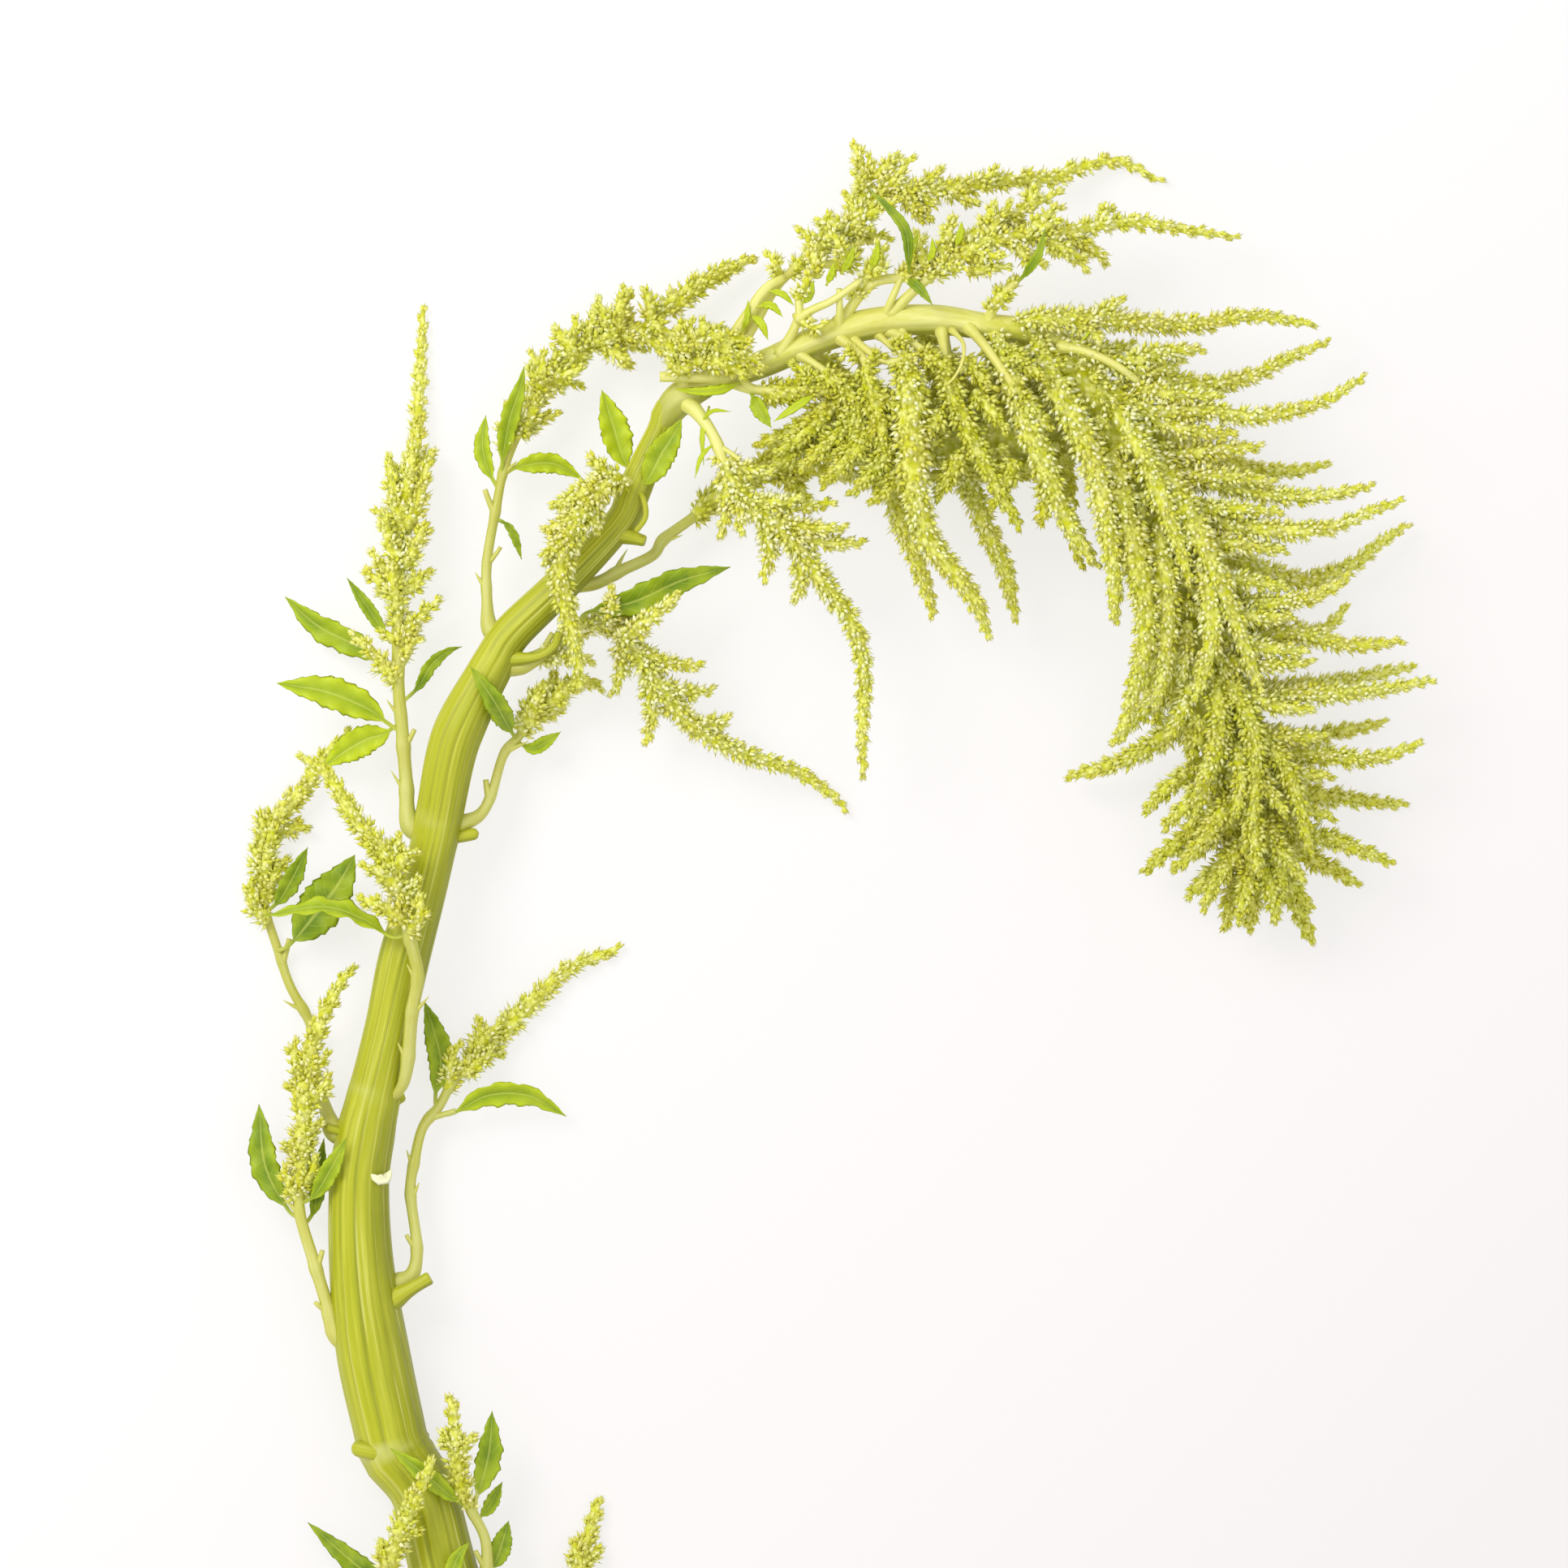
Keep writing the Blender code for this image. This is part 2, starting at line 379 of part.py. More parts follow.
LEAVES = {
    "leaf_left_tall_1": leaf([(122.5, 276.5, 14.6), (119.5, 278.5, 12), (110, 284.2, 9), (97.5, 290.5, 7),
                              (87.5, 299.2, 5)], 8.8, -0.3),
    "leaf_left_tall_2": leaf([(123.8, 257, 16), (119, 260.5, 17), (112.5, 265, 18), (100, 270, 20),
                              (85.5, 272.5, 21)], 10.5, 0.2),
    "leaf_left_tall_3": leaf([(123.6, 260.6, 15.8), (118, 257, 14.6), (113, 255.5, 14.2),
                              (106.2, 251.8, 13.8), (99.5, 246.8, 13.5)], 9.5, -0.1),
    "leaf_left_tall_4": leaf([(122.5, 285.5, 14.2), (118.5, 288, 16.5), (113.8, 295, 18), (107, 304.8, 19)],
                             4.2),
    "leaf_left_tall_5": leaf([(124.2, 267, 15.6), (128.8, 271.5, 16.6), (132.5, 278, 18),
                              (137.5, 282.2, 18), (142, 283.8, 17)], 4.2, 0.3),
    "leaf_left_mid_1": leaf([(85.2, 190, 5.0), (89, 192, 7), (96.2, 200.5, 9), (103.8, 210.5, 11),
                             (109, 219.5, 12)], 13.0, -0.1, 0.15),
    "leaf_left_mid_2": leaf([(81.6, 202, 5.2), (85.5, 205.5, 8.5), (90, 213, 12), (94.5, 221.8, 14)],
                            6.5, 0.3),
    "leaf_front_mid": leaf([(126.2, 195.5, 33), (121, 194.5, 31), (112.5, 199.5, 29), (100, 203.5, 27),
                            (82.2, 201, 24)], 8.6, 0.9),
    "leaf_left_low_1": leaf([(92.6, 107.5, 18), (88.5, 110.5, 17), (81.5, 124, 14.5), (79.5, 142.5, 12)],
                            9.0, -0.2),
    "leaf_left_low_2": leaf([(92.2, 112, 18.2), (97, 115, 21), (102.5, 124, 25), (106.8, 132.5, 27)], 6.2),
    "leaf_left_low_3": leaf([(93.4, 105, 17.6), (96.6, 110.5, 13.5), (98, 122, 11.5), (99.5, 132, 11)],
                            5.2, 0.2),
    "leaf_right_low_1": leaf([(134, 140.5, 8.2), (134, 146.5, 9), (135.5, 156, 8.5), (133, 166.8, 7.5),
                              (130.5, 174.2, 7)], 8.0, 0.1),
    "leaf_right_low_2": leaf([(133.5, 139, 8.3), (139.5, 140, 8.8), (150, 145.5, 11), (162.5, 145.5, 10),
                              (174, 139, 6)], 8.0, 0.4),
    "leaf_right_short_1": leaf([(159, 255.3, 13.1), (157, 258.5, 20), (153, 266, 30), (149.2, 271.8, 32),
                                (145.2, 277.5, 32)], 7.0),
    "leaf_right_short_2": leaf([(158.6, 254.8, 13.2), (163.8, 252.5, 12.5), (168, 254.5, 12),
                                (172.5, 257.5, 12)], 4.4),
    "leaf_right_long": leaf([(179, 289.2, 22), (180.5, 294, 25.5), (195, 297.6, 28.5), (210, 304.2, 28),
                             (224.8, 308.2, 26)], 9.8, 0.3),
    "leaf_top_left_1": leaf([(154.4, 335.5, 15.1), (155, 344, 18.5), (157, 354.2, 22), (160, 363, 24),
                             (161.5, 369.8, 25)], 6.2, 0.3),
    "leaf_top_left_2": leaf([(153.6, 332, 15.2), (150.5, 338, 15), (148.5, 346, 14.5), (149.5, 355, 14)],
                            5.6, -0.3),
    "leaf_top_left_3": leaf([(154.6, 336.5, 15.1), (160, 339.5, 15), (170, 340.5, 14.5), (179.2, 335.8, 14)],
                            6.6, 0.2),
    "leaf_top_left_4": leaf([(152.2, 323.5, 15.8), (156, 321.5, 17), (158.5, 318, 17), (160.5, 311, 15.5)],
                            3.0, 0.4),
    "leaf_stem_1": leaf([(196, 335.5, 25.5), (192.2, 341, 23.5), (188.8, 351.8, 23.5), (185.5, 362.5, 25)],
                        9.6, 0.2, 0.4),
    "leaf_stem_2": leaf([(196.5, 333.5, 26), (199.5, 335, 31.5), (203.8, 343, 33), (207, 348, 33.5),
                         (210, 353.5, 34)], 9.0, 0.1, 0.3),
    "leaf_stem_3": leaf([(134, -13.5, 11), (124, -9.5, 10), (109.8, 0, 8), (94.5, 13.2, 5)], 7.4, 0.2),
    "leaf_head_1": leaf([(231, 362.4, 31.6), (233.5, 357.5, 35.5), (237.5, 351, 37)], 5.0, 0.3),
    "leaf_head_2": leaf([(279.8, 397.5, 36), (279.8, 402, 44), (278.8, 410.8, 48), (274, 417.5, 48),
                         (267.8, 423.5, 46)], 3.4),
    "leaf_head_3": leaf([(277.5, 396.5, 35.5), (282, 394.5, 41.5), (287, 388.5, 43)], 3.2),
    "leaf_head_4": leaf([(313, 395.5, 38), (316, 398.5, 44), (319.5, 404, 48), (321.5, 411.5, 49)], 3.0),
    "leaf_base_right_1": leaf([(145.2, 17.5, 19.9), (147.5, 24, 20), (150.5, 35.5, 18), (151.5, 48, 17)],
                              8.6, 0.4),
    "leaf_base_right_2": leaf([(146.6, 14.5, 19.4), (150.4, 18.5, 15), (154.5, 26, 12)], 4.6, 0.2),
    "leaf_base_right_3": leaf([(144.6, 18.8, 20.2), (140, 21.5, 24), (132.5, 28, 26), (120.5, 37, 26)],
                              6.4, -0.1),
    "leaf_base_right_4": leaf([(140, -9, 18.5), (139, -3, 24), (141, 3.5, 25), (144.5, 8, 25)], 5.4),
    "leaf_base_right_5": leaf([(149.2, -2, 16.6), (152.4, 1.5, 15), (154.5, 7.5, 13.5), (156.5, 14, 12.5)],
                              6.6, 0.2),
}


def to_place(points):
    """Drawing millimetres as metres about the origin."""
    placed = np.asarray(points, dtype=float)[:, :3].copy()
    placed[:, 0] -= ORIGIN_X
    placed[:, 1] -= ORIGIN_Y
    return placed * MM


def smooth_route(points, gap):
    """Points at even steps along a smooth curve through the given points."""
    knots = np.asarray(points, dtype=float)
    padded = np.vstack([2 * knots[0] - knots[1], knots, 2 * knots[-1] - knots[-2]])
    steps = np.linspace(0, 1, CURVE_STEPS, endpoint=False)[:, None]
    pieces = []
    for before, first, second, after in zip(padded, padded[1:], padded[2:], padded[3:]):
        pieces.append(0.5 * (2 * first + (second - before) * steps
                             + (2 * before - 5 * first + 4 * second - after) * steps ** 2
                             + (3 * first - before - 3 * second + after) * steps ** 3))
    fine = np.vstack(pieces + [knots[-1:]])
    lengths = np.linalg.norm(np.diff(fine[:, :3], axis=0), axis=1)
    along = np.concatenate([[0], np.cumsum(lengths)])
    count = max(2, int(round(along[-1] / gap)) + 1)
    wanted = np.linspace(0, along[-1], count)
    return np.column_stack([np.interp(wanted, along, fine[:, k]) for k in range(fine.shape[1])])


def part_of_route(points, start, end):
    """The stretch of a fine route between two fractions of its length."""
    last = len(points) - 1
    first_index = int(round(start * last))
    end_index = max(first_index + 1, int(round(end * last)))
    return points[first_index:end_index + 1]


def frames_along(points):
    """Tangent, sideways and upward directions at each point of a route."""
    tangents = np.gradient(points, axis=0)
    tangents /= np.linalg.norm(tangents, axis=1)[:, None]
    sideways = np.cross([0.0, 0.0, 1.0], tangents)
    lengths = np.linalg.norm(sideways, axis=1)[:, None]
    level = sideways / np.maximum(lengths, STEEPEST_SINE)
    sideways = np.where(lengths > STEEPEST_SINE, level, [1.0, 0.0, 0.0])
    return tangents, sideways, np.cross(tangents, sideways)


def make_material(name, colour, roughness):
    material = bpy.data.materials.new(name)
    material.use_nodes = True
    shader = material.node_tree.nodes["Principled BSDF"]
    shader.inputs["Base Color"].default_value = colour
    shader.inputs["Roughness"].default_value = roughness
    shader.inputs["Metallic"].default_value = 0.0
    return material


def make_object(name, mesh, collection):
    piece = bpy.data.objects.new(name, mesh)
    collection.objects.link(piece)
    return piece


def mesh_object(name, vertices, faces, collection):
    mesh = bpy.data.meshes.new(name)
    mesh.from_pydata([tuple(vertex) for vertex in vertices], [], faces)
    mesh.validate()
    return make_object(name, mesh, collection)


def make_tube(name, route, radii, collection, extra=0.0, sides=TUBE_SIDES):
    """A tube along a route, as a mesh with its ends closed. No part of it is below the surface."""
    curve = bpy.data.curves.new(name, "CURVE")
    curve.dimensions = "3D"
    curve.bevel_depth = MM
    curve.bevel_resolution = (sides - 4) // 2
    curve.use_fill_caps = True
    spline = curve.splines.new("POLY")
    places = to_place(route)
    spline.points.add(len(places) - 1)
    for point, place, radius in zip(spline.points, places, radii):
        point.co = (*place, 1.0)
        point.radius = radius + extra
    return curve_to_mesh(curve, name, collection)


def curve_to_mesh(curve, name, collection):
    """A welded mesh of a curve object's surface."""
    guide = make_object(name + "_guide", curve, collection)
    bpy.context.view_layer.update()
    mesh = bpy.data.meshes.new_from_object(guide.evaluated_get(bpy.context.evaluated_depsgraph_get()))
    bpy.data.objects.remove(guide)
    welded = bmesh.new()
    welded.from_mesh(mesh)
    bmesh.ops.remove_doubles(welded, verts=welded.verts, dist=WELD_DISTANCE)
    bmesh.ops.recalc_face_normals(welded, faces=welded.faces)
    lift_to_surface(welded)
    welded.to_mesh(mesh)
    welded.free()
    return make_object(name, mesh, collection)


def lift_to_surface(shape):
    """Nothing reaches below the surface that the plant lies on."""
    for vertex in shape.verts:
        vertex.co.z = max(vertex.co.z, 0.0)


def make_floret_rings(name, centres, radii, tip, sides, peak, valley, lean, collection):
    """A closed body of rings whose corners are raised florets and dips by turns."""
    tangents, sideways, upward = frames_along(centres)
    count = len(centres)
    vertices = []
    for ring in range(count):
        for side in range(sides):
            is_peak = (ring + side) % 2 == 0
            reach = radii[ring] * (peak if is_peak else valley)
            forward = lean if is_peak and ring > 0 else 0.0
            angle = 2 * math.pi * (side + RING_TURN) / sides
            outward = math.cos(angle) * sideways[ring] + math.sin(angle) * upward[ring]
            vertices.append(centres[ring] + outward * reach + tangents[ring] * forward)
    vertices.append(tip)
    faces = [list(range(sides - 1, -1, -1))]
    for ring in range(count - 1):
        for side in range(sides):
            a = ring * sides + side
            b = ring * sides + (side + 1) % sides
            c = b + sides
            d = a + sides
            if (ring + side) % 2 == 0:
                faces += [[a, b, d], [b, c, d]]
            else:
                faces += [[a, b, c], [a, c, d]]
    last = (count - 1) * sides
    for side in range(sides):
        faces.append([last + side, last + (side + 1) % sides, len(vertices) - 1])
    placed = to_place(vertices)
    placed[:, 2] = np.maximum(placed[:, 2], 0.0)
    body = mesh_object(name, placed, faces, collection)
    split_in_triangles(body)
    return body


def split_in_triangles(body):
    shape = bmesh.new()
    shape.from_mesh(body.data)
    bmesh.ops.triangulate(shape, faces=shape.faces)
    bmesh.ops.recalc_face_normals(shape, faces=shape.faces)
    shape.to_mesh(body.data)
    shape.free()


def make_spike(name, route, radius, collection, extra=0.0, ring_gap=RING_GAP):
    """A flower spike whose florets lean to its tip."""
    fine = smooth_route(route, FINE_GAP)
    length = len(fine) - 1
    count = max(3, int(round((length - TIP_LENGTH) / ring_gap)) + 1)
    at = np.linspace(0, length - TIP_LENGTH, count)
    centres = np.column_stack([np.interp(at, np.arange(len(fine)), fine[:, k]) for k in range(3)])
    share = at / length
    slimming = np.clip((share - THINNING_START) / (1.0 - THINNING_START), 0, 1) ** THINNING_POWER
    profile = np.minimum(1.0, FOOT_FULLNESS + FOOT_WIDENING * share) * (1.0 - THINNING * slimming)
    lean = PEAK_LEAN * ring_gap
    ahead = (fine[-1] - fine[-2]) / np.linalg.norm(fine[-1] - fine[-2])
    tip = fine[-1] + ahead * (TIP_REACH * lean + extra)
    return make_floret_rings(name, centres, radius * profile + extra, tip, RING_SIDES, PEAK, VALLEY, lean,
                             collection)


def make_core(name, stations, collection, extra=0.0):
    """The dense inside of the head, covered in florets too."""
    fine = smooth_route(stations, CORE_RING_GAP)
    tip = fine[-1, :3] + CORE_TIP * (fine[-1, :3] - fine[-2, :3])
    return make_floret_rings(name, fine[:, :3], fine[:, 3] + extra, tip, CORE_SIDES, CORE_PEAK, CORE_VALLEY,
                             0.0, collection)


def side_spike_route(axis, tip):
    """A side spike leaves its axis below its tip and bends outward to it."""
    tip = np.asarray(tip, dtype=float)
    distances = np.linalg.norm(axis - tip, axis=1)
    nearest = int(np.argmin(distances))
    foot = axis[max(0, nearest - int(round(SIDE_FOOT_RUN * distances[nearest] + SIDE_FOOT_START)))]
    middle = 0.5 * (foot + tip) + SIDE_BEND * (axis[nearest] - foot)
    return [foot, middle, tip]


def cluster_routes(axis, cluster):
    """Short spikes round a stretch of an axis, each turned by the golden angle."""
    tangents, sideways, upward = frames_along(axis)
    last = len(axis) - 1
    routes = []
    for index in range(cluster["count"]):
        share = (index + 0.5) / cluster["count"]
        where = int(round((cluster["start"] + share * (cluster["end"] - cluster["start"])) * last))
        length = cluster["first"] + share * (cluster["last"] - cluster["first"])
        angle = index * GOLDEN_ANGLE
        outward = math.cos(angle) * sideways[where] + math.sin(angle) * upward[where]
        tip = axis[where] + length * (CLUSTER_TIP_OUT * outward + CLUSTER_TIP_AHEAD * tangents[where])
        tip[2] = max(tip[2], CLUSTER_LOWEST_TIP)
        middle = axis[where] + length * (CLUSTER_BEND_OUT * outward + CLUSTER_BEND_AHEAD * tangents[where])
        routes.append([axis[where], middle, tip])
    return routes


def branch_pieces(name, spec, collection, extra=0.0):
    """The stalk, the spike and the side spikes of one branch, as separate closed bodies."""
    axis = smooth_route(spec["route"], FINE_GAP)
    pieces = []
    if spec["bare"] > 0:
        stalk_end = spec["bare"] + STALK_RUN_ON / len(axis)
        stalk = smooth_route(part_of_route(axis, 0.0, stalk_end), STALK_GAP)
        radii = np.linspace(spec["stalk"] * STALK_FOOT, spec["stalk"] * STALK_END, len(stalk))
        pieces.append(make_tube(name + "_stalk", stalk, radii, collection, extra))
    flowering = part_of_route(axis, spec["bare"], 1.0)
    pieces.append(make_spike(name + "_spike", flowering, spec["radius"], collection, extra))
    routes = [side_spike_route(axis, tip) for tip in spec["tips"]]
    if spec["cluster"]:
        routes += cluster_routes(axis, spec["cluster"])
    for index, route in enumerate(routes):
        pieces.append(make_spike(f"{name}_side_{index}", route, spec["radius"] * SIDE_SPIKE_SHARE, collection,
                                 extra, SIDE_RING_GAP))
    return pieces


def apply_modifiers(piece):
    bpy.context.view_layer.update()
    mesh = bpy.data.meshes.new_from_object(piece.evaluated_get(bpy.context.evaluated_depsgraph_get()))
    piece.modifiers.clear()
    piece.data = mesh


def unite(name, pieces, collection):
    """One closed body from overlapping bodies."""
    group = bpy.data.collections.new(name + "_repeats")
    bpy.context.scene.collection.children.link(group)
    for piece in pieces[1:]:
        group.objects.link(piece)
        piece.users_collection[0].objects.unlink(piece)
    body = pieces[0]
    body.name = name
    if len(pieces) > 1:
        union = body.modifiers.new("join", "BOOLEAN")
        union.operation = "UNION"
        union.operand_type = "COLLECTION"
        union.collection = group
        union.solver = "MANIFOLD"
        apply_modifiers(body)
        keep_largest_body(body)
    for piece in list(group.objects):
        bpy.data.objects.remove(piece)
    bpy.data.collections.remove(group)
    for owner in list(body.users_collection):
        owner.objects.unlink(body)
    collection.objects.link(body)
    return body


def cut_clear(body, cutters):
    """The body loses what lies in the cutters, and loose scraps are dropped."""
    for cutter in cutters:
        cut = body.modifiers.new("seat", "BOOLEAN")
        cut.operation = "DIFFERENCE"
        cut.object = cutter
        cut.solver = "MANIFOLD"
    apply_modifiers(body)
    keep_largest_body(body)


def keep_largest_body(body):
    shape = bmesh.new()
    shape.from_mesh(body.data)
    bmesh.ops.remove_doubles(shape, verts=shape.verts, dist=WELD_DISTANCE)
    remaining = set(shape.verts)
    groups = []
    while remaining:
        group = set()
        waiting = [remaining.pop()]
        while waiting:
            vertex = waiting.pop()
            group.add(vertex)
            for edge in vertex.link_edges:
                other = edge.other_vert(vertex)
                if other in remaining:
                    remaining.discard(other)
                    waiting.append(other)
        groups.append(group)
    largest = max(groups, key=len)
    bmesh.ops.delete(shape, geom=[v for v in shape.verts if v not in largest], context="VERTS")
    shape.to_mesh(body.data)
    shape.free()


def ribbed_profile(name, collection):
    """A round outline of radius 1 mm with ribs, for the stem's curve."""
    outline = bpy.data.curves.new(name, "CURVE")
    outline.dimensions = "2D"
    spline = outline.splines.new("POLY")
    count = 2 * STEM_RIBS
    spline.points.add(count - 1)
    for index, point in enumerate(spline.points):
        reach = MM * (1.0 if index % 2 == 0 else 1.0 - RIB_DEPTH)
        angle = 2 * math.pi * index / count
        point.co = (reach * math.cos(angle), reach * math.sin(angle), 0.0, 1.0)
    spline.use_cyclic_u = True
    guide = make_object(name, outline, collection)
    guide.hide_render = True
    guide.display_type = "WIRE"
    return guide


def make_ribbed_stem(name, profile, collection, extra=0.0):
    curve = bpy.data.curves.new(name, "CURVE")
    curve.dimensions = "3D"
    curve.twist_mode = "Z_UP"
    curve.bevel_mode = "OBJECT"
    curve.bevel_object = profile
    curve.use_fill_caps = True
    fine = smooth_route(MAIN_STEM, STEM_RING_GAP)
    places = to_place(fine)
    spline = curve.splines.new("POLY")
    spline.points.add(len(places) - 1)
    for point, place, station in zip(spline.points, places, fine):
        point.co = (*place, 1.0)
        point.radius = station[3] / 2 + extra
    return curve_to_mesh(curve, name, collection)


def main_stem_body(name, profile, collection, extra=0.0):
    """The stem with its knobs and cut petioles."""
    pieces = [make_ribbed_stem(name, profile, collection, extra)]
    for stub, (route, radius) in STEM_STUBS.items():
        fine = smooth_route(route, STUB_GAP)
        radii = np.linspace(radius * STUB_FOOT, radius, len(fine))
        pieces.append(make_tube(name + "_" + stub, fine, radii, collection, extra))
    return unite(name, pieces, collection)


def seed_head_body(name, collection, extra=0.0):
    """The arch of the stem and every spike that hangs from it."""
    rachis = smooth_route(RACHIS, RACHIS_RING_GAP)
    pieces = [make_tube(name, rachis, rachis[:, 3] / 2, collection, extra, RACHIS_SIDES)]
    for core, stations in HEAD_CORES.items():
        pieces.append(make_core(f"{name}_{core}", stations, collection, extra))
    for index, spec in enumerate(HEAD_BRANCHES):
        pieces += branch_pieces(f"{name}_{index}", spec, collection, extra)
    return unite(name, pieces, collection)


def spray_body(name, spec, collection, extra=0.0):
    return unite(name, branch_pieces(name, spec, collection, extra), collection)


def leaf_body(name, spec, collection):
    """A petiole that widens into a folded, waved blade with a toothed edge."""
    count = BLADE_STATIONS + 2
    length = len(smooth_route(spec["route"], FINE_GAP)) - 1
    midrib = smooth_route(spec["route"], length / (count - 1))[:count]
    tangents, sideways, upward = frames_along(midrib)
    across = math.cos(spec["roll"]) * sideways + math.sin(spec["roll"]) * upward
    lift = np.cross(tangents, across)
    share = np.clip((np.arange(len(midrib)) - 1) / (len(midrib) - 2), 0, 1)
    outline = np.sin(math.pi * share ** BLADE_SHOULDER) ** BLADE_FULLNESS
    half = np.maximum(outline * spec["width"] / 2, PETIOLE_HALF_WIDTH)
    half[-1] = PETIOLE_HALF_WIDTH * BLADE_TIP
    sheet = []
    for station in range(len(midrib)):
        for side in (-1, 0, 1):
            tooth = 1.0 + TOOTH * (1 if (station + side) % 2 else -1)
            wave = WAVE * outline[station] * (1 if (station + side) % 2 else -1)
            reach = side * half[station] * tooth
            rise = abs(side) * (spec["fold"] * half[station] * outline[station] + wave)
            sheet.append(midrib[station] + across[station] * reach + lift[station] * rise)
    faces = []
    for station in range(len(midrib) - 1):
        row = 3 * station
        for column in (0, 1):
            a = row + column
            faces += [[a, a + 1, a + 4], [a, a + 4, a + 3]]
    placed = to_place(sheet)
    placed[:, 2] = np.maximum(placed[:, 2], BLADE_THICKNESS * MM)
    blade = mesh_object(name, placed, faces, collection)
    thick = blade.modifiers.new("thickness", "SOLIDIFY")
    thick.thickness = BLADE_THICKNESS * MM
    thick.offset = 0.0
    apply_modifiers(blade)
    split_in_triangles(blade)
    return blade


def build_plant():
    for leftover in list(bpy.data.objects):
        bpy.data.objects.remove(leftover)
    plant = bpy.data.collections.new("amaranth_seed_head")
    cutters = bpy.data.collections.new("cutters")
    bpy.context.scene.collection.children.link(plant)
    bpy.context.scene.collection.children.link(cutters)

    profile = ribbed_profile("stem_profile", cutters)
    stem_cutter = main_stem_body("main_stem_clearance", profile, cutters, GAP)
    head_cutter = seed_head_body("seed_head_clearance", cutters, GAP)
    spray_cutters = {}
    for name, spec in SPRAYS.items():
        spray_cutters[name] = spray_body(name + "_clearance", spec, cutters, GAP)

    stem = main_stem_body("main_stem", profile, plant)
    stem.data.materials.append(make_material("stem_green", STEM_COLOUR, 0.45))
    head = seed_head_body("seed_head", plant)
    cut_clear(head, [stem_cutter])
    head.data.materials.append(make_material("floret_green", FLORET_COLOUR, 0.7))

    spray_material = make_material("spray_green", STALK_COLOUR, 0.65)
    for name, spec in SPRAYS.items():
        spray = spray_body(name, spec, plant)
        cut_clear(spray, [stem_cutter])
        spray.data.materials.append(spray_material)

    leaf_material = make_material("leaf_green", LEAF_COLOUR, 0.5)
    for name, spec in LEAVES.items():
        blade = leaf_body(name, spec, plant)
        nearby = [stem_cutter, head_cutter] + list(spray_cutters.values())
        cut_clear(blade, nearby)
        blade.data.materials.append(leaf_material)

    for cutter in list(cutters.objects):
        cutter.hide_render = True
        cutter.display_type = "WIRE"


build_plant()
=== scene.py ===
# A cut amaranth stem with its arched seed head, laid on a pale floor and seen from straight above.
# The lists of places are millimetres on a drawing: x to the right, y up the stem, z above the floor.
import math

import bpy
import numpy as np
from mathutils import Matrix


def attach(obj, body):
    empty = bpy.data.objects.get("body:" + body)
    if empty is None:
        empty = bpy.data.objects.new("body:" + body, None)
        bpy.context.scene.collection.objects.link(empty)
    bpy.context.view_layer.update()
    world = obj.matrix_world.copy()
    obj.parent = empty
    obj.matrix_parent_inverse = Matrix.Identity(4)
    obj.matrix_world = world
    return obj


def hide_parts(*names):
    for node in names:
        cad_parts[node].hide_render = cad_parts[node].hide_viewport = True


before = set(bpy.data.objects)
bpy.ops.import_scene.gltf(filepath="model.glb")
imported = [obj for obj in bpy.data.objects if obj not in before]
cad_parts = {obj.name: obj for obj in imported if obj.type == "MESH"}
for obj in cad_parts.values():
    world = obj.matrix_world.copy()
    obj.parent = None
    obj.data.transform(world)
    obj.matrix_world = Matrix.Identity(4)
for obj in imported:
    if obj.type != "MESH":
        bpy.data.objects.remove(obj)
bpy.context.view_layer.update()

print("frame loaded:", len(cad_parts), "nodes")

mm = 0.001
drawingMiddle = (259.6, 200.1)    # the drawing's point at the frame's origin
photoSide = 483.0    # what the picture's side spans, in mm
photoMiddle = (241.5, 241.5)    # the drawing's point at the picture's middle
goldenAngle = math.radians(137.5)
seeds = {"flowers": 11, "stubs": 23, "leaves": 5}    # what the random draws start from

# Layout of the plant

# places along the stem: x, y, z and how thick it is there
mainStem = [
    (146.2, -35.0, 10.2, 20.6), (136.2, 0.0, 10.8, 20.4), (130.2, 23.0, 11.6, 19.8),
    (122.0, 35.5, 12.0, 21.4), (119.0, 46.0, 12.3, 21.8), (114.5, 67.5, 13.0, 22.0),
    (111.2, 93.0, 14.0, 19.5), (110.5, 117.8, 15.0, 18.0), (112.6, 134.0, 15.7, 17.6),
    (115.2, 146.0, 16.3, 15.8), (120.0, 167.0, 17.2, 14.8), (124.5, 188.0, 18.0, 15.4),
    (130.8, 210.8, 19.0, 14.0), (135.0, 230.2, 19.8, 14.2), (138.8, 250.0, 20.6, 15.0),
    (142.8, 261.2, 21.0, 15.0), (152.2, 279.0, 22.0, 12.4), (157.8, 288.0, 22.5, 11.8),
    (173.2, 303.0, 23.6, 11.0), (190.8, 321.8, 25.0, 9.6), (195.5, 332.2, 25.6, 10.2),
    (203.2, 350.0, 26.5, 7.8), (206.2, 357.0, 27.0, 8.4), (217.2, 364.0, 27.6, 7.6),
]
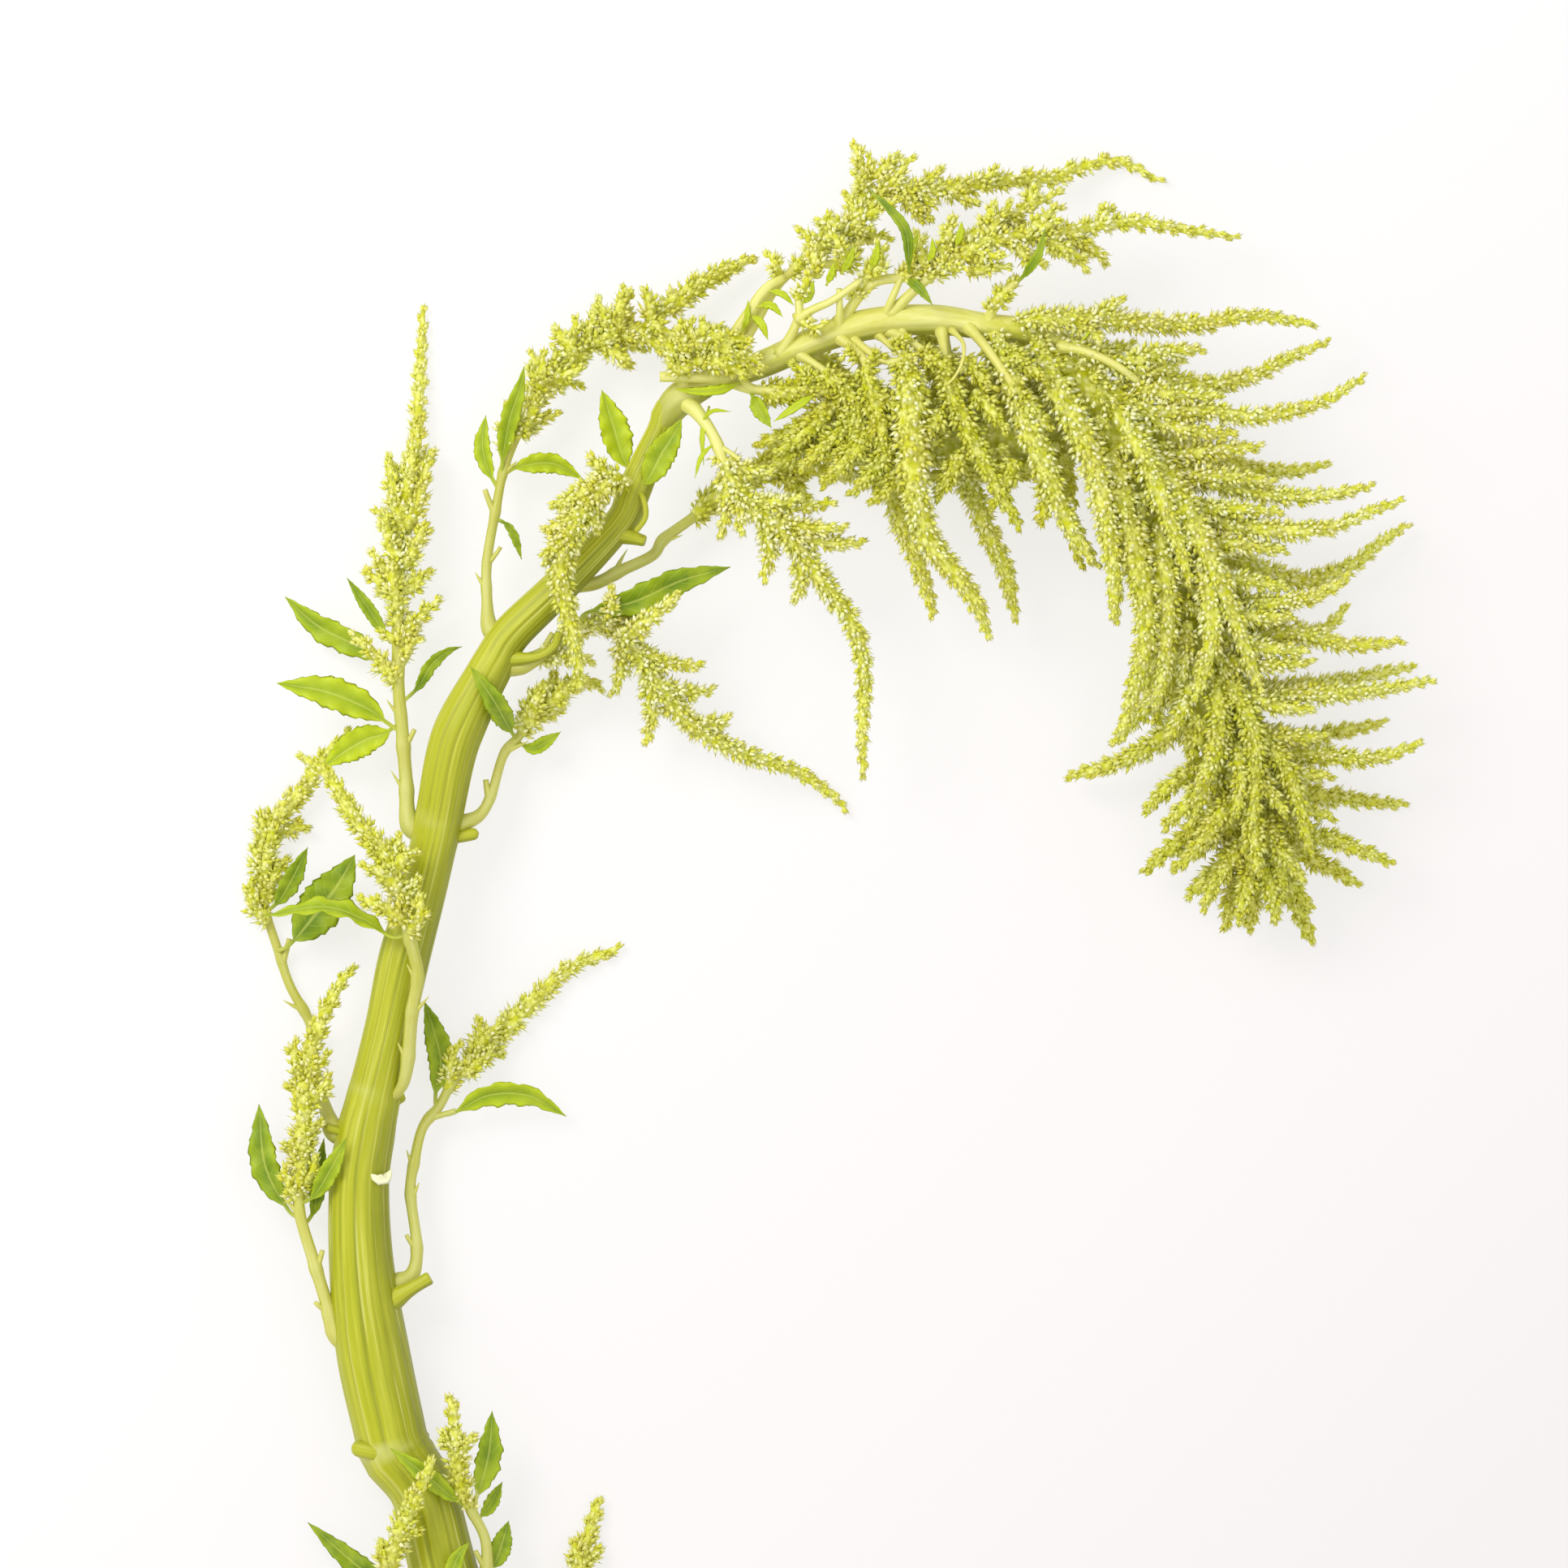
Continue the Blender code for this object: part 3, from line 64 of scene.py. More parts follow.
# cut petioles and knobs on the stem: route and radius
stemStubs = {
    "low_knob": ([(119.5, 35.2, 18.0), (115.0, 35.8, 19.4), (111.2, 36.6, 18.4), (108.8, 37.0, 16.6)], 2.7),
    "right_petiole": ([(118, 81, 15.5), (122.5, 83.5, 16.5), (127, 86.2, 17.6), (132.5, 89.4, 18.0)], 1.9),
    "left_petiole": ([(108, 133.5, 17.5), (99.8, 136.0, 19.0)], 1.4),
    "right_bump": ([(117, 144, 14.5), (121.5, 145.5, 14.3), (123.8, 146.5, 14.0)], 1.8),
    "upper_petiole": ([(136.5, 225, 19.2), (141, 225.2, 19.5), (144.5, 225.8, 19.6),
                       (147.5, 226.5, 19.5)], 1.9),
    "hooked_petiole": ([(155, 280, 23), (165, 280.5, 26.6), (170.5, 283.6, 27.4), (172.6, 288.2, 28)], 1.3),
    "high_petiole": ([(189, 319, 25.5), (198.8, 316.2, 27.5)], 1.4),
    "curled_petiole": ([(195.5, 333, 27), (198.2, 329, 31), (198.8, 323.5, 32), (195.6, 318.8, 31.6)], 0.95),
}
# the arch that carries the head, from the stem's end, in the same four values
rachis = [
    (217.9, 364.4, 27.6, 7.6), (236.0, 371.0, 29.0, 8.4), (251.8, 378.0, 30.0, 8.8),
    (267.8, 382.8, 30.0, 9.6), (287.2, 384.2, 30.0, 9.2), (302.8, 382.2, 30.0, 8.2),
    (318.2, 380.2, 30.0, 7.6), (332.5, 373.0, 29.5, 7.4), (342.8, 355.0, 29.0, 7.2),
    (351.2, 343.0, 28.0, 7.0), (360.8, 320.5, 27.0, 6.2), (370.0, 285.5, 25.0, 5.0),
    (375.0, 268.0, 24.0, 4.4), (378.8, 250.5, 23.0, 4.2), (385.0, 233.0, 22.0, 4.0),
    (392.0, 210.0, 20.0, 3.6),
]
# the dense inside of the head: x, y, z and radius
headCores = {
    "outer_core": [
        (318.0, 376.0, 30.0, 5.0), (334.0, 364.0, 30.0, 11.0), (345.0, 346.0, 30.0, 14.5),
        (355.0, 324.0, 29.5, 15.0), (364.0, 300.0, 28.0, 15.0), (371.0, 275.0, 26.0, 14.5),
        (378.0, 250.0, 24.0, 13.0), (386.0, 228.0, 21.0, 10.5), (392.0, 214.0, 18.0, 7.0),
    ],
    "inner_core": [
        (241.0, 350.0, 28.0, 4.0), (252.0, 347.0, 28.0, 9.0), (266.0, 346.0, 28.0, 13.0),
        (282.0, 348.0, 28.0, 15.5), (300.0, 350.0, 28.0, 16.5), (318.0, 350.0, 28.5, 15.5),
        (332.0, 344.0, 29.0, 12.0),
    ],
}
spikeFullness = 1.22    # spikes are this much fuller than the radii in the lists
sideSpikeShare = 0.8    # a side spike is this much thinner than the spike it stands on


# one flowering branch: route, radius of its spike, bare part of its length, radius of the bare stalk,
# tips of side spikes, and a stretch with short spikes round it
def branch(route, radius=3.3, bare=0.0, stalk=1.3, tips=(), cluster=None):
    return {"route": route, "radius": radius * spikeFullness, "bare": bare, "stalk": stalk, "tips": tips,
            "cluster": cluster}


# a stretch of a branch, as fractions of its length, with short spikes set round it
def spikeRing(start, end, count, longFirst, longLast):
    return {"start": start, "end": end, "count": count, "first": longFirst, "last": longLast}


headBranches = {
    "crown": [    # the crown, over the arch
        branch([(225, 370.5, 29), (232.5, 383, 30), (240, 395.5, 28), (250, 403.8, 26),
                (262, 413.8, 24), (265.8, 422.3, 22), (268.2, 435.8, 20)], 2.1, 0.42, 1.5,
               [(258, 414, 33), (275, 410, 20), (261, 424, 16), (277, 421, 31)],
               spikeRing(0.55, 0.9, 4, 10, 7)),
        branch([(265.8, 418, 23), (275, 425, 22), (288.2, 424.2, 21), (310, 427.5, 17),
                (325, 428.5, 11), (332.5, 431.8, 7), (345, 433.8, 3.5), (358.8, 427.5, 2)], 2.1, 0.0, 1.3,
               [(281, 435.2, 24), (289.8, 432, 20), (287.2, 415.2, 26), (301, 420, 24)],
               spikeRing(0.05, 0.45, 4, 9, 7)),
        branch([(248.5, 402.5, 26.2), (260, 401.5, 25), (265.2, 409, 27)], 2.1, 0.4),
        branch([(258.5, 383, 31), (268.2, 395, 34), (279.8, 397.5, 36), (290.8, 403.2, 37),
                (302, 411, 37), (315, 418, 34), (327, 424, 29)], 2.1, 0.3, 1.5,
               [(271, 408.5, 38)], spikeRing(0.3, 0.92, 6, 13, 9)),
        branch([(274, 386, 32), (287.5, 398, 38), (305, 408, 40), (325, 410.5, 38),
                (337.5, 413, 34), (350, 414.2, 29), (367.5, 411.8, 23), (382, 409.8, 17)], 2.1, 0.12, 1.5,
               [(335, 399.2, 38), (341, 401, 32)], spikeRing(0.15, 0.66, 6, 13, 8)),
        branch([(304, 383, 31), (307, 390, 35), (313.5, 396.5, 38)], 2.1, 0.2),
    ],
    "outer": [    # the outer side, from the top of the arch down to the tip
        branch([(307.5, 383, 31), (322.5, 384.2, 36), (337.5, 384.2, 36), (355, 383, 34),
                (370, 383, 31), (385, 385.5, 28), (405, 383, 24)], 2.5, 0.05, 1.3,
               [(345, 391, 39), (339, 377, 40)]),
        branch([(324, 379.8, 30), (335.2, 373.8, 34), (352, 367.5, 34), (370, 364.2, 30),
                (385, 366.8, 26), (397.5, 373, 22), (409.5, 378, 18)], 2.5, 0.0, 1.3,
               [(349, 377, 26), (364, 372, 37)]),
        branch([(334, 370.5, 30), (350, 357, 37), (371.8, 356, 39), (382.5, 354.2, 39),
                (395, 355.5, 38), (407.5, 359.2, 36), (420, 366.8, 34)], 2.5),
        branch([(345, 353, 28), (362.5, 345.5, 23), (382.5, 339.2, 18), (397.5, 338, 13),
                (410, 340.5, 9)], 2.5),
        branch([(350, 343, 29), (370, 335.5, 34), (390, 330.5, 35), (405, 330, 34), (422.5, 333, 31)], 2.5),
        branch([(355, 328, 28), (375, 321.8, 36), (395, 319.2, 40), (410, 320.5, 40),
                (422.5, 325.5, 38), (431.2, 328.5, 36)], 2.5),
        branch([(362.5, 318, 27), (380, 310.5, 21), (400, 304.2, 15), (415, 308, 11),
                (425, 315.5, 8), (434.5, 321.8, 5)], 2.5),
        branch([(367, 300.5, 27), (385, 296.8, 36), (400, 298, 39), (410, 301.8, 39), (415, 305.5, 38)], 2.5),
        branch([(370, 293, 26), (387.5, 286.8, 20), (402.5, 286.8, 16), (411.2, 291.8, 14),
                (415, 296.8, 12)], 2.5),
        branch([(371, 285.5, 26), (385, 286.8, 31), (400, 288, 32), (415, 284.2, 30), (432, 285.5, 27)], 2.5),
        branch([(375, 270.5, 24), (395, 270.5, 15), (412.5, 273, 7), (425, 275.5, 3.5),
                (436.2, 278, 2)], 2.5),
        branch([(374, 270.5, 25), (382.5, 268, 30), (410, 269.2, 31), (425, 270.5, 29),
                (441.2, 273.5, 26)], 2.5),
        branch([(377, 258, 23), (400, 255.5, 11), (415, 258, 4), (427.5, 260.5, 2)], 2.5),
        branch([(379, 250.5, 24), (405, 250.5, 27), (422.5, 249.2, 25), (437.5, 254.2, 22)], 2.5),
        branch([(382, 243, 22), (400, 239.2, 12), (415, 236.8, 5), (433.8, 235, 2)], 2.5),
        branch([(386, 228, 22), (405, 225.5, 25), (417.5, 221.8, 23), (428.8, 216.8, 20)], 2.5),
        branch([(389, 223, 20), (405, 218, 12), (418.8, 210.5, 6)], 2.5),
    ],
    "tip": [    # the tip, pointing down and inward
        branch([(388, 221, 21), (400, 203, 15), (404.2, 193, 9)], 2.7),
        branch([(387.5, 220.5, 22), (386, 205, 15), (385, 196.8, 8)], 2.7),
        branch([(388, 222, 21), (380, 208, 22), (377.5, 196.8, 18)], 2.7),
        branch([(387, 226, 21.4), (372.5, 213, 18), (366.2, 206.8, 12)], 2.7),
        branch([(383, 237, 22), (362.5, 223, 18), (352.5, 214.2, 12)], 2.7),
        branch([(377, 252, 23), (360, 240.5, 28), (352.5, 233, 27)], 2.7),
        branch([(375, 268, 24), (350, 250.5, 18), (328.8, 243.5, 10)], 2.7),
        branch([(371.5, 280, 24.6), (350, 262, 22), (343, 254.2, 16)], 2.7),
        branch([(368, 290, 28), (375, 265, 38), (372, 246, 38), (365, 226, 34)], 2.7),
        branch([(370, 282, 28), (384, 262, 40), (386, 240, 40), (383, 219, 35)], 2.7),
        branch([(374, 270, 26), (393, 250, 37), (400, 234, 37), (403, 220, 33)], 2.7),
        branch([(382, 240, 24), (392, 225, 32), (395, 207, 28)], 2.7),
        branch([(374, 275, 24), (378, 245, 8), (392, 222, 3.5), (396, 206, 2.2)], 2.7),
    ],
    "front": [    # the front, hanging from the arch
        branch([(319, 379, 31), (325, 363, 40), (335, 343, 47), (340, 323, 49), (342.5, 308, 47),
                (343, 291, 43)], 3.6),
        branch([(345, 350, 30), (343, 336, 42), (350, 308, 47), (352.5, 288, 46), (348.8, 270.5, 42),
                (345, 255.5, 37)], 3.6),
        branch([(356, 330, 28), (357.5, 313, 42), (358.8, 293, 44), (357.5, 275.5, 42),
                (355, 265.5, 39)], 3.5),
        branch([(362, 322, 28), (371, 308, 42), (372.5, 288, 45), (370, 275.5, 43), (367.5, 268, 40)], 3.4),
        branch([(306, 381, 31), (311, 365, 42), (319, 345, 47), (327, 325, 45), (337.5, 308, 39)], 3.5),
        branch([(335, 368, 31), (350, 345, 42), (360, 322, 46), (366, 303, 45)], 3.4),
        branch([(345, 352, 30), (362, 330, 42), (373, 308, 46), (382, 286, 43), (388, 270, 38)], 3.4),
        branch([(277.5, 383, 31), (280, 362, 44), (281, 339.2, 47), (285, 318, 45), (292.5, 308, 42),
                (300, 298, 38), (304.5, 286.8, 33)], 3.6, 0.1),
        branch([(262, 381, 31), (267, 366, 34), (271, 346, 33), (276, 328, 30), (282.5, 310.5, 27),
                (287.5, 293, 22)], 3.2, 0.25, 1.4),
        branch([(290, 383, 30), (295, 358, 30), (299, 332, 27), (305, 318, 24), (310, 305.5, 20),
                (313.2, 291.8, 15)], 3.2, 0.1),
    ],
    "inner": [    # the mass under the arch
        branch([(258, 379, 32), (265.8, 372, 39), (267.8, 364, 42), (271.8, 348, 44), (270, 334, 42)],
               2.7, 0.3),
        branch([(290, 381, 32), (292, 366, 42), (298, 350, 46), (306, 334, 45), (314, 320, 40)],
               2.7, 0.15),
        branch([(300, 381, 30), (307.8, 369.8, 38), (313.8, 358, 36), (322, 340, 32), (329, 322, 28),
                (333, 308, 24)], 2.7, 0.1),
        branch([(222, 366, 28), (232, 362.5, 32), (244.8, 361.8, 36), (260, 363, 38)], 2.7, 0.35),
        branch([(245.5, 374, 31), (255.8, 366.5, 38), (264, 357, 41), (262, 346, 42)], 2.7, 0.3),
        branch([(266, 368, 37), (257, 357, 35), (245, 350, 31), (233, 346, 28)], 2.7, 0.1),
    ],
    "back": [    # the back, lying on the surface
        branch([(250, 377, 28), (258, 366, 13), (268, 355, 4), (280, 346, 2.2)], 3.2, 0.15),
        branch([(282, 384, 28), (290, 368, 13), (300, 350, 4), (306, 336, 2.2)], 3.3, 0.1),
        branch([(310, 380, 28), (318, 364, 12), (326, 346, 4), (331, 328, 2.2)], 3.3, 0.1),
        branch([(335, 368, 28), (346, 350, 11), (353, 330, 4), (355, 310, 2.2)], 3.3, 0.1),
        branch([(354, 335, 26), (366, 318, 10), (373, 300, 4), (376, 284, 2.2)], 3.3, 0.1),
        branch([(365, 305, 25), (357, 288, 10), (355, 272, 4), (358, 258, 2.2)], 3.2, 0.1),
    ],
}

sprays = {
    "spray_left_tall": branch(
        [(133, 225.5, 19.5), (126.2, 229.2, 18.5), (125, 243, 17), (123.8, 258, 16), (122.5, 275.5, 15),
         (122.5, 308, 12), (123.8, 328, 10), (127.5, 343, 8), (128.2, 350.5, 6), (129, 368, 4),
         (130, 389.2, 2)], 2.3, 0.4, 1.6,
        [(107.5, 288, 19), (115, 305.5, 8), (113.8, 313, 16), (115, 326.8, 7), (118.8, 343, 12),
         (135.8, 298.8, 17), (132.5, 320.5, 14), (133.8, 344, 9)]),
    "spray_left_mid": branch(
        [(106.2, 133, 15), (102.5, 135, 14.5), (98.8, 145.5, 8), (95.8, 158, 5), (95, 167.5, 4),
         (88.8, 179.2, 3.4), (85, 190.5, 3.2), (81.2, 203, 3.2), (80.5, 215.5, 3.4), (82, 226, 3.4),
         (87.5, 234, 6), (93.8, 240.5, 7), (98, 248, 7.5), (107.5, 258, 8)], 2.8, 0.56, 1.2,
        [(77.5, 221.8, 7), (79.5, 233, 4), (94.5, 228.5, 4)]),
    "spray_front_mid": branch(
        [(118, 143, 18), (124.5, 150, 23), (127, 170.5, 27.5), (128.8, 183, 30), (126.2, 195.5, 33),
         (123.8, 208, 34), (118.8, 220.5, 34), (110, 230.5, 33), (101.2, 244.2, 32), (92.5, 250.5, 31)],
        2.7, 0.5, 1.6,
        [(129, 213, 36), (112.5, 222.5, 36), (124, 226, 33)]),
    "spray_left_low": branch(
        [(109, 68, 13), (103.8, 71.8, 14), (100, 83, 15.5), (96.2, 95.5, 17), (92.5, 108, 18),
         (92, 116, 18.5), (93, 128, 19.5), (93.8, 138, 20), (95, 158, 20), (98.8, 168, 19),
         (105, 180.5, 17), (109.5, 185.5, 16)], 2.8, 0.42, 1.5,
        [(88, 131, 22), (98.5, 138, 22), (89, 149, 18), (101.5, 158, 21)]),
    "spray_right_low": branch(
        [(117.5, 86.8, 13.5), (122.5, 87.5, 13), (127, 90.5, 12.5), (128.2, 99.2, 12),
         (126.2, 115.5, 11), (127.5, 125.5, 10), (130, 135.5, 9), (135, 142, 8), (140, 150.5, 7),
         (150, 160.5, 5), (162.5, 173, 3.6), (175, 184.2, 2.8), (191.2, 191, 2)], 2.6, 0.54, 1.3,
        [(138, 157.5, 9), (147.5, 169, 6), (154.5, 158.5, 4)]),
    "spray_right_short": branch(
        [(137.5, 228.5, 19), (141.2, 229.2, 18.5), (147.5, 231.8, 17), (151.2, 238, 15.5),
         (155, 250.5, 14), (160, 256.5, 13), (163.5, 262, 12.5), (170, 268, 12), (177.5, 273, 11),
         (186, 271, 10)], 2.5, 0.55, 1.2,
        [(163, 270, 15), (172.5, 263.5, 8), (171, 276, 12)]),
    "spray_right_long": branch(
        [(154, 277.5, 22), (161.2, 278.6, 22), (170, 283, 22), (180, 290, 22), (187.5, 291.5, 22),
         (193.8, 285.5, 21.5), (200, 275.5, 21), (207.5, 265.5, 20), (217.5, 256.8, 18),
         (230, 250.5, 15), (245, 245.5, 9), (255, 239.2, 4.5), (260.8, 233.5, 2)], 2.5, 0.24, 1.4,
        [(196, 297.8, 21), (207.5, 297, 20), (183, 279, 25), (188.8, 268.8, 20), (216.2, 278, 22),
         (220, 270.5, 15), (199, 254.2, 17), (225, 261.8, 18)]),
    "spray_front_hanging": branch(
        [(196.2, 333, 27), (192.5, 335, 32), (186.2, 333, 36), (178, 323, 38), (173, 308, 38),
         (175, 293, 37), (177.5, 283, 35), (179, 271.5, 32)], 3.2, 0.1, 1.3,
        [(168, 319.2, 38), (170, 327.5, 38), (184.5, 319, 38)]),
    "spray_centre_hanging": branch(
        [(210, 359.5, 28), (214.5, 356, 33), (220, 348, 36), (225, 335.5, 38), (232.5, 325.5, 39),
         (242.5, 318, 39), (250, 308, 38), (257.5, 298, 36), (262.5, 291, 35), (266, 278, 33),
         (265.5, 257, 30), (266, 243.2, 27)], 2.5, 0.17, 1.4,
        [(238.5, 337, 40), (247, 329.5, 43), (257, 328, 38), (260.5, 320, 42), (266, 315.5, 38),
         (235, 303.8, 38), (245, 297.2, 36), (221.8, 317.5, 38), (228, 318.5, 43)]),
    "spray_top_left": branch(
        [(157, 286.8, 22.5), (151.2, 289.2, 21), (150, 298, 19), (150, 310.5, 17), (153, 328, 15.5),
         (155, 338, 15), (158.8, 348, 15), (165, 360.5, 15), (170, 366.8, 15), (175, 370.5, 15),
         (182.5, 378, 15), (190, 380.5, 15), (200, 383, 14.5), (205, 388, 14), (217.5, 396.8, 11),
         (232.5, 404.2, 7)], 2.1, 0.4, 1.2,
        [(163.8, 375.5, 13), (171, 377, 18), (183.8, 389.2, 18), (192.5, 395.5, 13), (180, 364.8, 12),
         (172.5, 355.5, 13), (198, 374.5, 13)]),
    "spray_back": branch(
        [(178, 302.5, 23), (184, 303.5, 21), (191.2, 307.2, 19), (201, 312, 17), (204.5, 317, 16),
         (213.8, 324, 13), (219.2, 328.8, 10), (230, 335.5, 6), (245, 339.2, 3.6), (262, 336, 2.2)],
        3.0, 0.45, 1.4,
        [(236, 325, 3), (249, 328, 3), (240, 347, 5)]),
    "spray_arch_short": branch(
        [(212, 361.8, 28), (209.5, 369.2, 33), (211.2, 375.5, 37), (217.5, 377.4, 39), (225, 374, 40),
         (233.2, 367.2, 39)], 2.8, 0.2, 1.3,
        [(206, 377.5, 38), (213, 384.5, 40), (222, 382.5, 41)]),
    "spray_base_right": branch(
        [(143.8, -10.8, 14), (149, -4.5, 16), (149.6, 8, 18), (145, 18, 20), (141.8, 25, 22),
         (140.5, 38, 24), (138.8, 53, 25)], 2.6, 0.5, 1.3, [(145.5, 41, 26), (135.5, 41, 25)]),
    "spray_base_front": branch(
        [(135, -17, 14), (126.2, -13.2, 19), (121, -4.5, 22), (119.5, 0, 23.5), (123, 10.5, 27),
         (127.5, 20.5, 30), (133.8, 34.2, 32)], 2.7, 0.35, 1.3, [(116.5, 8, 26), (129, 12.5, 30)]),
    "spray_base_far": branch(
        [(145, -19.5, 11), (156.2, -19.5, 10), (167.5, -14.5, 8), (176.2, -4.5, 5), (180, 5.5, 3.2),
         (184.2, 20.5, 2.2)], 2.5, 0.45, 1.3, [(176.5, 7.5, 7), (185, 5, 5)]),
}


# a leaf: route of its midrib, widest width, turn about the midrib and how far its halves fold up
def leaf(route, width, roll=0.0, fold=0.25):
    return {"route": route, "width": width, "roll": roll, "fold": fold}


leaves = {
    "leaf_left_tall_1": leaf([(122.5, 276.5, 14.6), (119.5, 278.5, 12), (110, 284.2, 9), (97.5, 290.5, 7),
                              (87.5, 299.2, 5)], 8.8, -0.3),
    "leaf_left_tall_2": leaf([(123.8, 257, 16), (119, 260.5, 17), (112.5, 265, 18), (100, 270, 20),
                              (85.5, 272.5, 21)], 10.5, 0.2),
    "leaf_left_tall_3": leaf([(123.6, 260.6, 15.8), (118, 257, 14.6), (113, 255.5, 14.2),
                              (106.2, 251.8, 13.8), (99.5, 246.8, 13.5)], 9.5, -0.1),
    "leaf_left_tall_4": leaf([(122.5, 285.5, 14.2), (118.5, 288, 16.5), (113.8, 295, 18), (107, 304.8, 19)],
                             4.2),
    "leaf_left_tall_5": leaf([(124.2, 267, 15.6), (128.8, 271.5, 16.6), (132.5, 278, 18),
                              (137.5, 282.2, 18), (142, 283.8, 17)], 4.2, 0.3),
    "leaf_left_mid_1": leaf([(85.2, 190, 5.0), (89, 192, 7), (96.2, 200.5, 9), (103.8, 210.5, 11),
                             (109, 219.5, 12)], 14.4, -0.1, 0.15),
    "leaf_left_mid_2": leaf([(81.6, 202, 5.2), (85.5, 205.5, 8.5), (90, 213, 12), (94.5, 221.8, 14)],
                            6.5, 0.3),
    "leaf_front_mid": leaf([(126.2, 195.5, 33), (121, 194.5, 31), (112.5, 199.5, 29), (100, 203.5, 27),
                            (82.2, 201, 24)], 8.6, 0.9),
    "leaf_left_low_1": leaf([(92.6, 107.5, 18), (88.5, 110.5, 17), (81.5, 124, 14.5), (79.5, 142.5, 12)],
                            9.0, -0.2),
    "leaf_left_low_2": leaf([(92.2, 112, 18.2), (97, 115, 21), (102.5, 124, 25), (106.8, 132.5, 27)], 6.2),
    "leaf_left_low_3": leaf([(93.4, 105, 17.6), (96.6, 110.5, 13.5), (98, 122, 11.5), (99.5, 132, 11)],
                            5.2, 0.2),
    "leaf_right_low_1": leaf([(134, 140.5, 8.2), (134, 146.5, 9), (135.5, 156, 8.5), (133, 166.8, 7.5),
                              (130.5, 174.2, 7)], 8.0, 0.1),
    "leaf_right_low_2": leaf([(133.5, 139, 8.3), (139.5, 140, 8.8), (150, 145.5, 11), (162.5, 145.5, 10),
                              (174, 139, 6)], 8.0, 0.4),
    "leaf_right_short_1": leaf([(159, 255.3, 13.1), (157, 258.5, 20), (153, 266, 30), (149.2, 271.8, 32),
                                (145.2, 277.5, 32)], 7.0),
    "leaf_right_short_2": leaf([(158.6, 254.8, 13.2), (163.8, 252.5, 12.5), (168, 254.5, 12),
                                (172.5, 257.5, 12)], 4.4),
    "leaf_right_long": leaf([(179, 289.2, 22), (180.5, 294, 25.5), (195, 297.6, 28.5), (210, 304.2, 28),
                             (224.8, 308.2, 26)], 9.8, 0.3),
    "leaf_top_left_1": leaf([(154.4, 335.5, 15.1), (155, 344, 18.5), (157, 354.2, 22), (160, 363, 24),
                             (161.5, 369.8, 25)], 6.2, 0.3),
    "leaf_top_left_2": leaf([(153.6, 332, 15.2), (150.5, 338, 15), (148.5, 346, 14.5), (149.5, 355, 14)],
                            5.6, -0.3),
    "leaf_top_left_3": leaf([(154.6, 336.5, 15.1), (160, 339.5, 15), (170, 340.5, 14.5), (179.2, 335.8, 14)],
                            6.6, 0.2),
    "leaf_top_left_4": leaf([(152.2, 323.5, 15.8), (156, 321.5, 17), (158.5, 318, 17), (160.5, 311, 15.5)],
                            3.0, 0.4),
    "leaf_stem_1": leaf([(196, 335.5, 25.5), (192.2, 341, 23.5), (188.8, 351.8, 23.5), (185.5, 362.5, 25)],
                        9.6, 0.2, 0.4),
    "leaf_stem_2": leaf([(196.5, 333.5, 26), (199.5, 335, 31.5), (203.8, 343, 33), (207, 348, 33.5),
                         (210, 353.5, 34)], 9.0, 0.1, 0.3),
    "leaf_stem_3": leaf([(134, -13.5, 11), (124, -9.5, 10), (109.8, 0, 8), (94.5, 13.2, 5)], 7.4, 0.2),
    "leaf_head_1": leaf([(231, 362.4, 31.6), (233.5, 357.5, 35.5), (237.5, 351, 37)], 5.0, 0.3),
    "leaf_head_2": leaf([(279.8, 397.5, 36), (279.8, 402, 44), (278.8, 410.8, 48), (274, 417.5, 48),
                         (267.8, 423.5, 46)], 3.4),
    "leaf_head_3": leaf([(277.5, 396.5, 35.5), (282, 394.5, 41.5), (287, 388.5, 43)], 3.2),
    "leaf_head_4": leaf([(313, 395.5, 38), (316, 398.5, 44), (319.5, 404, 48), (321.5, 411.5, 49)], 3.0),
    "leaf_base_right_1": leaf([(145.2, 17.5, 19.9), (147.5, 24, 20), (150.5, 35.5, 18), (151.5, 48, 17)],
                              8.6, 0.4),
    "leaf_base_right_2": leaf([(146.6, 14.5, 19.4), (150.4, 18.5, 15), (154.5, 26, 12)], 4.6, 0.2),
    "leaf_base_right_3": leaf([(144.6, 18.8, 20.2), (140, 21.5, 24), (132.5, 28, 26), (120.5, 37, 26)],
                              6.4, -0.1),
    "leaf_base_right_4": leaf([(140, -9, 18.5), (139, -3, 24), (141, 3.5, 25), (144.5, 8, 25)], 5.4),
    "leaf_base_right_5": leaf([(149.2, -2, 16.6), (152.4, 1.5, 15), (154.5, 7.5, 13.5), (156.5, 14, 12.5)],
                              6.6, 0.2),
}


spanPoints = 12    # points worked out on each span of a curve
steepest = 0.05    # a route whose level part is shorter than this counts as upright
nearlyUpright = 0.9    # a direction this close to the z axis is crossed with the x axis
tiny = 1e-9
xAxis, zAxis = [1.0, 0.0, 0.0], [0.0, 0.0, 1.0]


